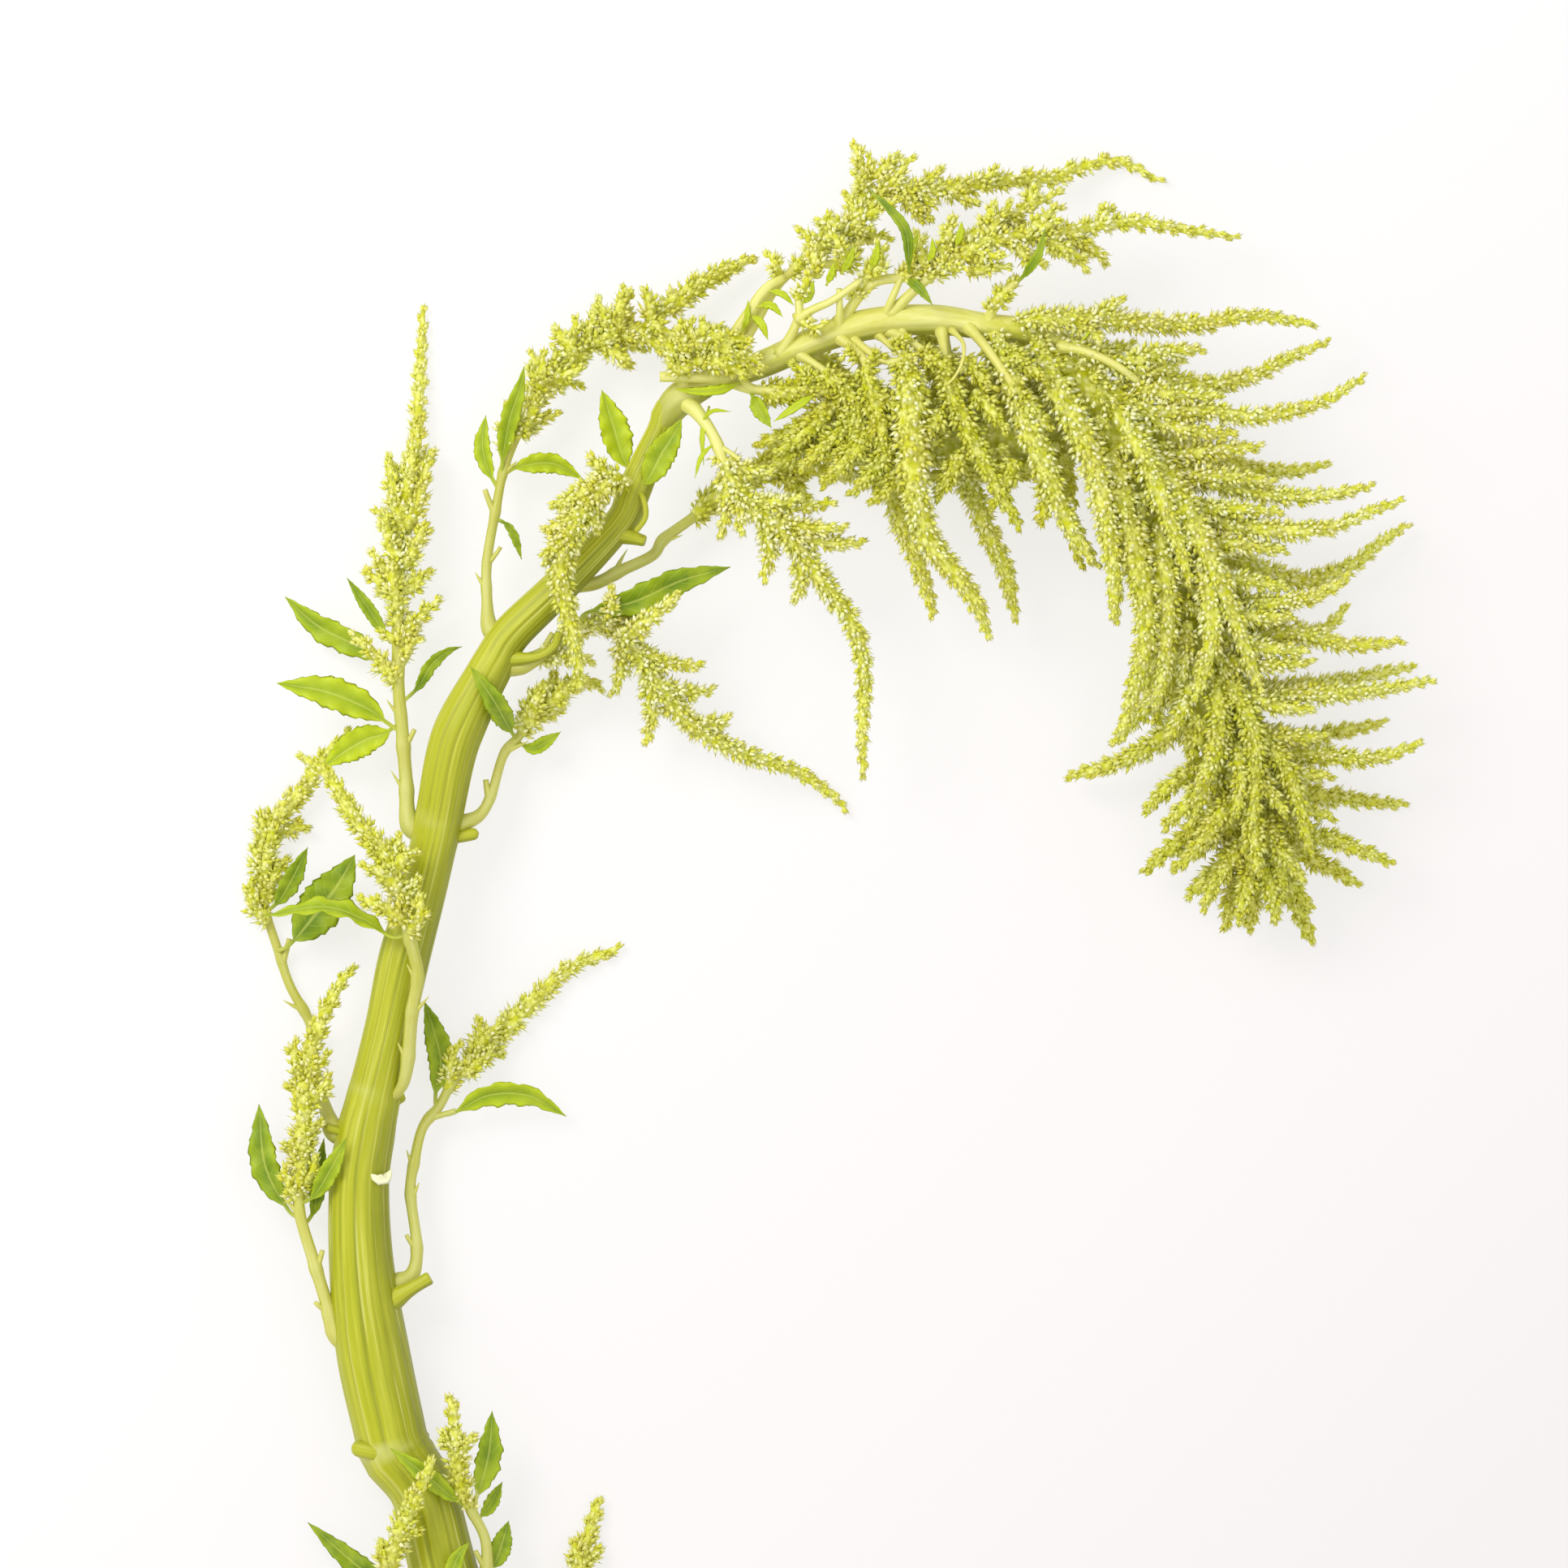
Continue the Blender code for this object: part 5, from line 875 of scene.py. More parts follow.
# a bud of unit width and length: a point at its base, rings (radius, height, turn) and a point at its tip,
# with how far out each level is
def budShape(sides, base, rings, reaches):
    here = np.arange(sides)
    after = (here + 1) % sides
    points = [[[0.0, 0.0, base]]]
    faces = [np.column_stack([np.zeros(sides, dtype=int), 1 + after, 1 + here])]
    for index, (radius, height, turn) in enumerate(rings):
        angle = turnsRound(sides) + turn
        points.append(np.column_stack([radius * np.cos(angle), radius * np.sin(angle),
                                       np.full(sides, height)]))
        low, high = 1 + index * sides, 1 + (index + 1) * sides
        if index < len(rings) - 1:
            faces += [np.column_stack([low + here, low + after, high + here]),
                      np.column_stack([low + after, high + after, high + here])]
        else:
            faces.append(np.column_stack([low + here, low + after, np.full(sides, high)]))
    return {"points": np.vstack(points + [[[0.0, 0.0, 1.0]]]), "faces": np.vstack(faces),
            "reach": np.repeat(reaches, [1] + [sides] * len(rings) + [1])}


floret = budShape(5, 0.0, [(1.0, 0.42, 0.0)], [0.1, 0.5, 1.0])    # a pointed oval
lump = budShape(6, -0.6, [(1.0, 0.0, 0.0), (0.72, 0.7, 0.5)], [0.1, 0.3, 0.6, 0.7])    # a blunt bud
# a bract is a narrow pointed blade: a triangle that runs to a tip
bract = {"points": np.array([[1.0, 0.0, 0.0], [-0.5, 0.45, 0.0], [-0.5, -0.45, 0.0], [0.0, 0.0, 1.0]]),
         "faces": np.array([[0, 2, 1], [0, 1, 3], [1, 2, 3], [2, 0, 3]]),
         "reach": np.array([0.2, 0.2, 0.2, 1.0])}
# what a cluster holds: how many, how long, how wide to each side, how far out its foot is, how far it
# strays, how pale
growths = {
    "floret": {"shape": floret, "count": 7, "length": (2.6, 3.7), "width": (0.60, 0.86), "foot": 0.9,
               "spray": 0.10, "pale": 1.0},
    "bract": {"shape": bract, "count": 7, "length": (3.0, 4.7), "width": (0.45, 0.70), "foot": 0.75,
              "spray": 0.28, "pale": 0.3},
    "bristle": {"shape": bract, "count": 6, "length": (3.0, 4.6), "width": (0.10, 0.15), "foot": 0.85,
                "spray": 0.35, "pale": 0.9},
}
# a side spike leaves its axis this far below its tip, in its own lengths and in mm, and bends outward
sideSpikeLook = {"back": 0.9, "more": 2, "bend": 0.12}
# short spikes round a branch: outward and forward parts of the tip and of the middle, and lowest tip
ringLook = {"tipOut": 0.78, "tipForward": 0.62, "middleOut": 0.45, "middleForward": 0.25, "lowest": 2.5}


def sideSpikeRoute(axis, tip, look):
    tip = np.asarray(tip, dtype=float)
    distances = np.linalg.norm(axis - tip, axis=1)
    nearest = int(np.argmin(distances))
    foot = axis[max(0, nearest - int(round(look["back"] * distances[nearest] + look["more"])))]
    return [foot, 0.5 * (foot + tip) + look["bend"] * (axis[nearest] - foot), tip]


# short spikes round a stretch of an axis, each turned by the golden angle
def clusterRoutes(axis, cluster, look):
    tangents, sideways, upward = framesAlong(axis)
    routes = []
    for index in range(cluster["count"]):
        share = (index + 0.5) / cluster["count"]
        where = int(round((cluster["start"] + share * (cluster["end"] - cluster["start"])) * (len(axis) - 1)))
        length = cluster["first"] + share * (cluster["last"] - cluster["first"])
        angle = index * goldenAngle
        outward = math.cos(angle) * sideways[where] + math.sin(angle) * upward[where]
        tip = axis[where] + length * (look["tipOut"] * outward + look["tipForward"] * tangents[where])
        tip[2] = max(tip[2], look["lowest"])
        middle = look["middleOut"] * outward + look["middleForward"] * tangents[where]
        routes.append([axis[where], axis[where] + length * middle, tip])
    return routes


# R(s) = fringe R min(1, foot + rise s) (1 - taper ((s - from) / (1 - from))^power), full near its foot and
# slim at its tip, where the root of (1 - s) / point brings it to a point; a short spike is nearly a cone
def spikeRadii(count, radius, look):
    share = np.linspace(0, 1, count)
    brief = min(1.0, max(0.0, (look["short"] - count) / look["short"] * look["shortRate"]))
    taper = look["taper"] + (look["shortTaper"] - look["taper"]) * brief
    slim = np.clip((share - look["taperFrom"]) / (1 - look["taperFrom"]), 0, 1) ** look["taperPower"]
    point = look["blunt"] + (1 - look["blunt"]) * np.sqrt(np.clip((1 - share) / look["point"], 0, 1))
    full = np.minimum(1.0, look["foot"] + look["footRise"] * share)
    return look["fringe"] * radius * full * (1.0 - taper * slim) * point


def oneSpike(route, radius):    # an axis with a point at each mm, and its radii
    axis = smoothRoute(route, 1.0)
    return axis, spikeRadii(len(axis), radius, spikeLook)


def spikesOf(spec):    # every spike of a branch
    axis = smoothRoute(spec["route"], 1.0)
    flowering = partOfRoute(axis, spec["bare"], 1.0)
    routes = [sideSpikeRoute(axis, tip, sideSpikeLook) for tip in spec["tips"]]
    if spec["cluster"]:
        routes += clusterRoutes(axis, spec["cluster"], ringLook)
    return ([(flowering, spikeRadii(len(flowering), spec["radius"], spikeLook))]
            + [oneSpike(route, sideSpikeShare * spec["radius"]) for route in routes])


# clusters wind round a spike by the golden angle, each with its share of the spike's skin
def clusterPlaces(axis, radii, look, rng):
    middles = 0.5 * (radii[1:] + radii[:-1])
    area = look["clusterArea"] * (look["thinShare"] + (1 - look["thinShare"])
                                  * np.minimum(1.0, middles / look["thick"]))
    steps = 2 * math.pi * middles * np.linalg.norm(np.diff(axis, axis=0), axis=1) / area
    clusters = np.concatenate([[0], np.cumsum(steps)])
    count = max(4, int(round(clusters[-1])))
    wanted = (np.arange(count) + 0.5) / count * clusters[-1]
    at = np.interp(wanted, clusters, np.arange(len(axis)))
    low = np.floor(at).astype(int)
    high = np.minimum(low + 1, len(axis) - 1)
    part = (at - low)[:, None]
    tangents, sideways, upward = framesAlong(axis)
    angle = (np.arange(count) * goldenAngle + rng.normal(0, look["turnVaries"], count)
             + rng.uniform(0, 2 * math.pi))
    outward = np.cos(angle)[:, None] * sideways[low] + np.sin(angle)[:, None] * upward[low]
    centre = axis[low] * (1 - part) + axis[high] * part
    return centre, outward, tangents[low], radii[low], at / (len(axis) - 1)


# directions in a cone about a middle one: the first is the middle, the rest wind round it
def coneDirections(middle, count, look, rng):
    side, over = squareTo(middle)
    index = np.arange(count)
    tilt = (math.radians(look["domeSpread"]) * np.sqrt(index / max(1, count - 1))[None]
            * rng.uniform(*look["spreadVaries"], (len(middle), count)))
    turn = index[None] * goldenAngle + rng.uniform(0, 2 * math.pi, (len(middle), 1))
    return (np.cos(tilt)[..., None] * middle[:, None] + np.sin(tilt)[..., None]
            * (np.cos(turn)[..., None] * side[:, None] + np.sin(turn)[..., None] * over[:, None])
            ).reshape(-1, 3)


# true where a point is above the floor and not deep under the skin of any spike
def inTheOpen(points, look):
    low, high = points.min(axis=0) - look["nearby"], points.max(axis=0) + look["nearby"]
    near = ((insides["centre"] > low) & (insides["centre"] < high)).all(axis=1)
    centre, deep = insides["centre"][near], insides["radius"][near] - look["buried"]
    apart = (points ** 2).sum(axis=1)[:, None] - 2 * points @ centre.T + (centre ** 2).sum(axis=1)[None]
    return (points[:, 2] > look["lowest"]) & ~((apart < (deep * np.abs(deep))[None]).any(axis=1))


# stamps a small shape at many places: base + length h along + width (x side + y over)
def stampShapes(pile, shape, bases, along, lengths, widths, turn, tones, **values):
    side, over = squareTo(along)
    side, over = (np.cos(turn)[:, None] * side + np.sin(turn)[:, None] * over,
                  np.cos(turn)[:, None] * over - np.sin(turn)[:, None] * side)
    own = shape["points"]
    x, y, h = own[None, :, :1], own[None, :, 1:2], own[None, :, 2:]
    points = (bases[:, None] + lengths[:, None, None] * h * along[:, None]
              + widths[:, None, None] * (x * side[:, None] + y * over[:, None]))
    faces = shape["faces"][None] + len(own) * np.arange(len(bases))[:, None, None]
    pile.add(points.reshape(-1, 3), faces.reshape(-1, 3), reach=np.tile(shape["reach"], len(bases)),
             tone=np.repeat(tones, len(own)), **values)


# the bright bodies that the florets of each dome sit on
def addLumps(pile, base, along, dome, look, shade, rng):
    keep = inTheOpen(base + along * (look["lumpTop"] * dome)[:, None], look)
    wide, high = (share * dome[keep] + look["lumpMore"] for share in look["lump"])
    count = int(keep.sum())
    stampShapes(pile, lump, base[keep], along[keep], high, wide, rng.uniform(0, 2 * math.pi, count),
                rng.uniform(*look["lumpTones"], count), shade=shade, core=look["lumpCore"])


# one spike: its core, then domes of florets, with bracts between them and fine bristles
def addSpike(pile, axis, radii, look, shade, rng):
    rings = max(3, int(round((len(axis) - 1) / look["coreGap"])) + 1)
    core = resampled(np.column_stack([axis, radii]), rings)
    coreRadii = core[:, 3] * look["coreShare"]
    coreRadii[-1] *= look["coreEnd"]
    sides = look["coreSides"] * (1 if radii.max() < look["fatFrom"] else look["fatSides"])
    points, faces, _ = tubeSurface(core, coreRadii, sides)
    pile.add(points, faces, reach=look["coreReach"], tone=look["coreTone"], shade=shade, core=1.0)

    centre, outward, tangent, radius, share = clusterPlaces(axis, radii, look, rng)
    dome = look["dome"] * np.minimum(radius, look["thick"]) * rng.uniform(*look["domeVaries"], len(radius))
    lean = look["lean"] + look["tipLean"] * share ** 4
    seat = np.maximum(look["lowestSeat"] * radius, radius - dome - look["reach"])
    addLumps(pile, centre + outward * seat[:, None], unitVectors(outward + look["lumpLean"] * tangent), dome,
             look, shade, rng)
    for growth in growths.values():
        count = growth["count"]
        domed = coneDirections(unitVectors(outward + look["domeLean"] * tangent), count, look, rng)
        middle, around, forward, far, out, bend, place = (
            np.repeat(part, count, axis=0) for part in (centre, outward, tangent, seat, dome, lean, share))
        total = len(domed)
        base = (middle + around * far[:, None]
                + domed * (growth["foot"] * out * rng.uniform(*look["footVaries"], total))[:, None])
        directions = unitVectors(look["fan"] * domed + look["out"] * around + bend[:, None] * forward
                                 + growth["spray"] * rng.normal(0, 1, (total, 3)))
        lengths = rng.uniform(*growth["length"], total) * (1 - look["smallTip"] * place ** 2)
        widths = rng.uniform(*growth["width"], total) * (1 - look["slimTip"] * look["smallTip"] * place ** 2)
        tone = growth["pale"] * np.where(rng.uniform(0, 1, total) < look["creamShare"],
                                         rng.uniform(*look["creamTones"], total),
                                         rng.uniform(*look["greenTones"], total))
        tone = tone * (1 - look["greenTip"] * place ** 3)
        turn = rng.uniform(0, 2 * math.pi, total)
        keep = inTheOpen(base + directions * (look["floretTop"] * lengths)[:, None], look)
        stampShapes(pile, growth["shape"], base[keep], directions[keep], lengths[keep], widths[keep],
                    turn[keep], tone[keep], shade=shade, core=0.0)


# stalks of the arch: mm between rings, radii at foot and end as shares, the flare at the foot and its
# length, and how many points the stalk reaches into its spike
stalkLook = {"sides": 12, "gap": 1.7, "fuller": 1.0, "foot": 1.15, "end": 0.9, "flare": 0.7,
             "flareLength": 3.0, "reach": 14.0}
# a spray's stalk is swollen at each old leaf, where a stub or a pointed stipule stands out
sprayStalk = dict(stalkLook, sides=18, gap=0.9, fuller=1.2, flareLength=9.5, widest=3.3, firstNode=17.0,
                  nodeGap=14.0, nodeVaries=4.0, swell=(0.05, 0.22), spread=2.2)
stubLook = {"sides": 10, "gap": 0.8, "length": (5.0, 8.5), "radius": (0.75, 1.05), "out": 0.58, "up": 0.22,
            "forward": 0.62, "curl": 0.22, "pointedShare": 0.4, "pointedEnd": 0.12, "bluntEnd": 0.85,
            "slimming": 1.5, "foot": 0.8, "footFade": 6, "olive": 0.7}


# radii times 1 + flare exp(-(length / flareLength)^2), so a stalk widens into what it grows from
def flared(radii, lengths, look):
    return radii * (1 + look["flare"] * np.exp(-(lengths / look["flareLength"]) ** 2))


# the radius falls evenly from foot to end and is flared, and at each node it is also times
# 1 + swell exp(-((length - node) / spread)^2)
def addStalk(pile, spec, look, rng=None, olive=0.0):
    if spec["bare"] <= 0:
        return
    axis = smoothRoute(spec["route"], 1.0)
    end = min(1.0, spec["bare"] + look["reach"] / len(axis))
    part = smoothRoute(partOfRoute(axis, 0.0, end), look["gap"])
    lengths = stepsAlong(part, look["gap"])
    plain = np.linspace(spec["stalk"] * look["foot"], spec["stalk"] * look["end"], len(part))
    radii = flared(look["fuller"] * plain, lengths, look)
    if rng is not None:
        radii = np.minimum(radii, look["widest"])
        nodes = np.arange(look["firstNode"], lengths[-1] - look["reach"], look["nodeGap"])
        for index, node in enumerate(nodes + look["nodeVaries"] * rng.uniform(-1, 1, len(nodes))):
            radii *= 1 + rng.uniform(*look["swell"]) * np.exp(-((lengths - node) / look["spread"]) ** 2)
            addStub(pile, part, int(node / look["gap"]), -1 if index % 2 else 1, stubLook, rng, olive)
    addTube(pile, part, radii, look["sides"], under=olive)


# a stub leaves the stalk forward, outward and a little upward, and curves along the stalk
def addStub(pile, part, where, side, look, rng, olive):
    tangents, sideways, upward = framesAlong(part)
    out = look["out"] * side * sideways[where] + look["up"] * upward[where]
    length = rng.uniform(*look["length"])
    share = np.linspace(0, 1, max(4, int(length / look["gap"])))[:, None]
    route = part[where, :3] + length * (share * (look["forward"] * tangents[where] + out)
                                        + look["curl"] * share ** 2 * tangents[where])
    thin = look["pointedEnd"] if rng.uniform() < look["pointedShare"] else look["bluntEnd"]
    radii = (rng.uniform(*look["radius"]) * (1 + (thin - 1) * share[:, 0] ** look["slimming"])
             * (1 + look["foot"] * np.exp(-share[:, 0] * look["footFade"])))
    addTube(pile, route, radii, look["sides"], under=look["olive"] * olive)


# thin stalks of the arch without a spike of their own: route, radius at the foot and at the end
extraStalks = [
    ([(219, 366, 28), (224.5, 376.5, 31), (231.2, 386.8, 33), (236, 393.5, 33), (241.5, 397, 31)], 2.3, 1.6),
    ([(240, 373.5, 31), (244, 380, 34), (246.2, 386, 36), (245.8, 391, 37)], 1.7, 1.2),
    ([(245.5, 384, 35), (250, 387, 37), (256.5, 390, 38), (265, 396, 38)], 1.4, 1.0),
    ([(258.5, 382, 32), (258.6, 387, 36), (258.4, 393.5, 38)], 1.3, 0.9),
    ([(272, 384, 31), (274, 389, 35), (277.5, 397, 36.5)], 1.3, 1.0),
    ([(262, 379, 31), (266.5, 375, 37), (272, 371.5, 40), (278, 371.5, 40), (284, 374, 38)], 1.3, 1.2),
    ([(270, 380, 31), (272.5, 377.5, 35), (275, 375, 37.5)], 1.1, 0.8),
    ([(273, 381, 31), (279, 378, 36), (286, 373, 39), (292, 366, 40)], 1.5, 1.1),
    ([(298, 382, 32), (303, 376, 40), (308, 369, 44), (315, 359.5, 45.5), (320, 353.5, 43)], 1.6, 1.2),
    ([(293, 381, 34), (296.5, 376.5, 43), (296, 370.5, 47.5), (293.6, 366, 48.5),
      (291, 363.5, 47)], 0.8, 0.35),
    ([(326, 376, 33), (335, 374, 37), (345, 369, 38.5), (354, 362, 34)], 1.5, 1.1),
    ([(352, 341, 32), (362, 329, 41), (370, 317, 44), (376, 304, 41)], 1.4, 1.0),
    ([(224, 366.2, 30), (217, 366.4, 33.6), (210, 366.6, 34.4), (203.4, 366.6, 34)], 1.9, 1.6),
    ([(228, 368.5, 30), (231, 363.5, 34.5), (240, 362, 36), (250, 361.5, 36.5)], 1.3, 1.1),
]
# short spikes that fill the head out: route and radius
extraSpikes = {
    "crown": [
        ([(252, 397, 35), (251, 402, 37), (250, 407, 37)], 1.8),
        ([(262, 402, 36), (258.5, 406, 39), (257, 411, 39)], 1.7),
        ([(240, 396.5, 29), (238.8, 401, 31), (236.5, 405.5, 31)], 1.5),
        ([(245.5, 390, 37), (248, 394.5, 39), (249.5, 399, 39)], 1.5),
        ([(270, 397, 37), (270.5, 402, 40), (272, 407, 40)], 1.8),
        ([(285, 400, 38), (283, 406, 40), (282.5, 411.5, 39)], 1.8),
        ([(292, 404, 38), (292, 410, 40), (294, 416, 39)], 1.8),
        ([(304, 409, 39), (307, 415, 40), (312, 420, 38)], 1.8),
        ([(316, 409, 40), (321, 415, 39), (327, 419.5, 36)], 1.8),
        ([(298, 398, 39), (304, 400, 42), (311, 400, 41)], 1.7),
        ([(322, 409, 39), (328, 405, 41), (334, 402.5, 40)], 1.7),
        ([(312, 408, 40), (316, 403, 42), (322, 400.5, 41)], 1.6),
        ([(266, 431, 20), (264, 435.5, 20), (263.5, 439, 19)], 1.5),
        ([(268, 428, 21), (273, 431.5, 22), (277, 436, 21)], 1.6),
        ([(262, 412, 25), (256.5, 414.5, 26), (251.5, 414, 26)], 1.6),
        ([(276, 424, 22), (281, 419, 25), (284.5, 414.5, 26)], 1.6),
        ([(254, 406, 26), (249, 409.5, 28), (246.5, 413, 27)], 1.5),
        ([(246, 384, 36), (251, 381.5, 38), (255, 383, 38.5)], 1.3),
    ],
    "inner": [
        ([(243, 364, 33), (250, 366, 37), (257, 366.5, 39)], 1.7),
        ([(250, 363, 34), (247, 368.5, 37), (243.5, 371, 37.5)], 1.3),
        ([(266, 372, 38), (261.5, 373.5, 39), (258.6, 372.5, 39)], 1.2),
        ([(266.5, 371, 39), (270, 373, 41), (272.5, 373.5, 41)], 1.2),
        ([(275, 374.5, 37), (277, 377, 40), (280, 379, 40)], 1.3),
        ([(284, 374, 38), (288, 371, 43), (293, 369, 44)], 2.0),
        ([(276, 371, 39), (280, 366, 43), (285, 361, 45)], 2.1),
        ([(268, 362, 41), (275, 358, 44), (282, 354, 46)], 2.2),
        ([(254, 358, 36), (248, 352, 38), (241, 347, 38)], 2.0),
        ([(262, 360, 38), (262, 353, 41), (258, 346, 42)], 2.2),
        ([(270, 352, 41), (262, 345, 42), (253, 341, 41)], 2.2),
        ([(290, 356, 44), (286, 350, 46), (281, 344, 47)], 2.2),
        ([(300, 362, 44), (305, 356, 47), (310, 349, 48)], 2.2),
        ([(310, 362, 44), (317, 357, 47), (323, 350, 48)], 2.2),
        ([(297, 372, 42), (301, 367, 45), (306, 362, 46)], 2.0),
        ([(310, 374, 40), (316, 370, 44), (322, 365, 46)], 2.0),
        ([(282, 345, 43), (276, 338, 43), (269, 333, 41)], 2.2),
        ([(296, 343, 44), (292, 336, 44), (288, 329, 42)], 2.2),
        ([(312, 341, 44), (309, 333, 44), (305, 326, 41)], 2.2),
        ([(322, 338, 44), (322, 329, 44), (320, 321, 42)], 2.2),
        ([(262, 352, 40), (254, 345, 42), (246, 338, 40)], 2.3),
        ([(268, 350, 42), (261, 341, 44), (253, 333, 41)], 2.3),
        ([(276, 347, 43), (269, 338, 44), (262, 330, 41)], 2.3),
        ([(256, 356, 38), (248, 349, 40), (239, 343, 38)], 2.2),
        ([(250, 348, 34), (243, 342, 35), (236, 338, 33)], 2.2),
        ([(282, 340, 42), (275, 333, 42), (268, 328, 40)], 2.2),
    ],
    "tip": [
        ([(378, 262, 34), (374, 250, 39), (368, 240, 40)], 2.4),
        ([(380, 255, 34), (382, 243, 40), (380, 232, 41)], 2.4),
        ([(385, 250, 33), (390, 240, 38), (396, 232, 38)], 2.3),
        ([(376, 245, 32), (366, 236, 36), (358, 228, 35)], 2.4),
        ([(380, 238, 32), (372, 227, 37), (364, 217, 35)], 2.4),
        ([(384, 236, 33), (386, 225, 38), (387, 214, 37)], 2.4),
        ([(386, 230, 30), (394, 221, 34), (401, 212, 32)], 2.3),
        ([(384, 226, 28), (376, 214, 30), (370, 203, 26)], 2.4),
        ([(386, 222, 26), (384, 210, 30), (381, 199, 27)], 2.4),
        ([(388, 222, 25), (391, 210, 29), (393, 199, 25)], 2.4),
        ([(388, 220, 22), (397, 211, 22), (404, 203, 18)], 2.3),
        ([(382, 232, 26), (370, 222, 24), (361, 215, 20)], 2.2),
    ],
    "middle": [
        ([(367, 294, 34), (365.5, 284, 38), (363.5, 273, 38)], 2.3),
        ([(369, 278, 33), (365, 267, 37), (360, 256, 35)], 2.3),
        ([(362, 305, 34), (358, 295, 38), (355, 284, 38)], 2.2),
        ([(346, 371, 36), (358, 374, 39), (370, 375, 38)], 2.2),
        ([(350, 363, 36), (362, 361, 40), (376, 361, 39)], 2.2),
        ([(354, 354, 36), (366, 350, 40), (380, 349, 39)], 2.2),
        ([(362, 342, 34), (374, 344, 38), (388, 345, 38)], 2.2),
        ([(362, 335, 34), (376, 336, 39), (392, 334, 38)], 2.2),
        ([(364, 326, 35), (378, 326, 40), (394, 325, 39)], 2.2),
        ([(366, 316, 35), (380, 315, 40), (396, 313, 38)], 2.3),
        ([(368, 306, 35), (382, 304, 40), (396, 302, 38)], 2.3),
        ([(370, 298, 35), (384, 293, 40), (398, 293, 39)], 2.3),
        ([(372, 290, 35), (386, 284, 39), (402, 282, 38)], 2.3),
        ([(374, 280, 34), (388, 278, 38), (404, 279, 36)], 2.3),
        ([(376, 272, 33), (390, 266, 37), (404, 264, 36)], 2.3),
        ([(380, 256, 30), (394, 256, 34), (408, 256, 32)], 2.3),
        ([(382, 250, 30), (396, 245, 33), (410, 244, 31)], 2.3),
        ([(384, 242, 28), (398, 235, 31), (411, 231, 28)], 2.3),
        ([(386, 234, 26), (399, 228, 28), (411, 224, 25)], 2.2),
    ],
    "spray_left_tall": [
        ([(122.8, 300, 13), (118, 303, 14), (112.2, 307.4, 13)], 1.9),
        ([(123, 300, 13), (128, 304, 14), (132.8, 307.8, 13)], 1.9),
        ([(122.6, 286, 14), (127, 290, 15), (130.2, 293.5, 15)], 1.7),
        ([(122.6, 281, 15), (126, 284, 16), (129.4, 286.8, 16)], 1.6),
        ([(122.6, 284, 15), (119, 288, 16), (116.5, 287.8, 16)], 1.6),
        ([(124, 320, 11), (121, 331, 14), (120, 341, 13)], 2.3),
        ([(125, 320, 12), (129, 330, 15), (131.5, 341, 14)], 2.3),
        ([(124, 325, 12), (126, 336, 15), (127, 347, 14)], 2.4),
        ([(123.5, 308, 13), (120, 316, 16), (118, 324, 15)], 2.2),
        ([(124, 308, 13), (128, 315, 16), (130.5, 322, 15)], 2.2),
        ([(122.8, 294, 14), (121, 303, 17), (121, 311, 16)], 2.1),
    ],
    "spray_right_short": [
        ([(162, 259, 13), (164.5, 266, 17), (168, 272.8, 18)], 2.6),
        ([(168, 266, 13), (174, 270, 17), (180.5, 274.5, 17)], 2.3),
    ],
    "spray_front_hanging": [
        ([(187.5, 335, 34.5), (185, 339, 37.5), (182, 342.5, 38)], 1.8),
        ([(186, 333, 36), (179.5, 331, 38.5), (172.5, 326.5, 38.5)], 2.5),
        ([(177, 318, 38), (171, 314, 40), (167.5, 309.5, 39)], 2.2),
    ],
    "spray_right_long": [
        ([(188, 292, 24), (188.3, 297, 30), (188.2, 302, 31.5)], 1.8),
        ([(192, 286, 25), (198, 290.5, 31), (204, 295.5, 33.5), (209, 300.2, 33.5)], 2.2),
    ],
    "spray_left_mid": [
        ([(82, 206, 4), (84, 213, 7), (88.5, 219, 7)], 2.0),
        ([(81, 212, 5), (82.5, 221, 8), (84, 231, 7)], 2.2),
        ([(81.5, 199, 4), (77.5, 205, 6), (76.5, 212.5, 6)], 2.0),
    ],
    "spray_front_mid": [
        ([(126, 196, 33), (129.5, 201, 36), (130, 208, 37)], 2.0),
        ([(125.5, 199, 34), (118, 204, 37), (111, 206.5, 37)], 2.3),
        ([(124, 207, 34), (118.5, 214, 37), (111.5, 216, 37)], 2.4),
        ([(122, 214, 35), (124.5, 219, 37), (129.5, 221.5, 37)], 2.0),
    ],
    "spray_left_low": [
        ([(92.5, 117, 18), (96, 121, 21), (97.5, 127, 22)], 1.9),
        ([(92.3, 112, 18), (89, 118, 20), (87, 124, 21)], 1.8),
        ([(94, 143, 20), (99, 147, 22), (102, 152, 22)], 2.0),
        ([(94.5, 150, 20), (91, 156, 21), (90.5, 163, 20)], 1.9),
    ],
    "spray_right_low": [
        ([(141, 152, 7), (147, 155, 9), (152, 160, 9)], 2.0),
        ([(139, 149, 7), (138.5, 155, 9), (141, 162, 9)], 2.0),
        ([(147, 158, 6), (150, 164, 8), (155, 168, 7)], 2.0),
    ],
    "spray_arch_short": [
        ([(210, 369, 33), (214, 371, 37), (219, 372, 39)], 2.6),
        ([(214, 376, 39), (220, 379, 41), (227, 379, 41)], 2.5),
        ([(218, 372, 38), (224, 370, 41), (230, 367, 41)], 2.5),
        ([(209, 372, 35), (207, 375, 38), (204, 378, 38)], 2.3),
        ([(213, 371, 37), (210, 368.5, 39), (205.5, 370.5, 39)], 2.1),
        ([(217, 374, 38), (216, 379, 41), (217.5, 384, 41)], 2.3),
        ([(222, 375, 40), (226, 378, 41), (231.5, 377, 41)], 2.2),
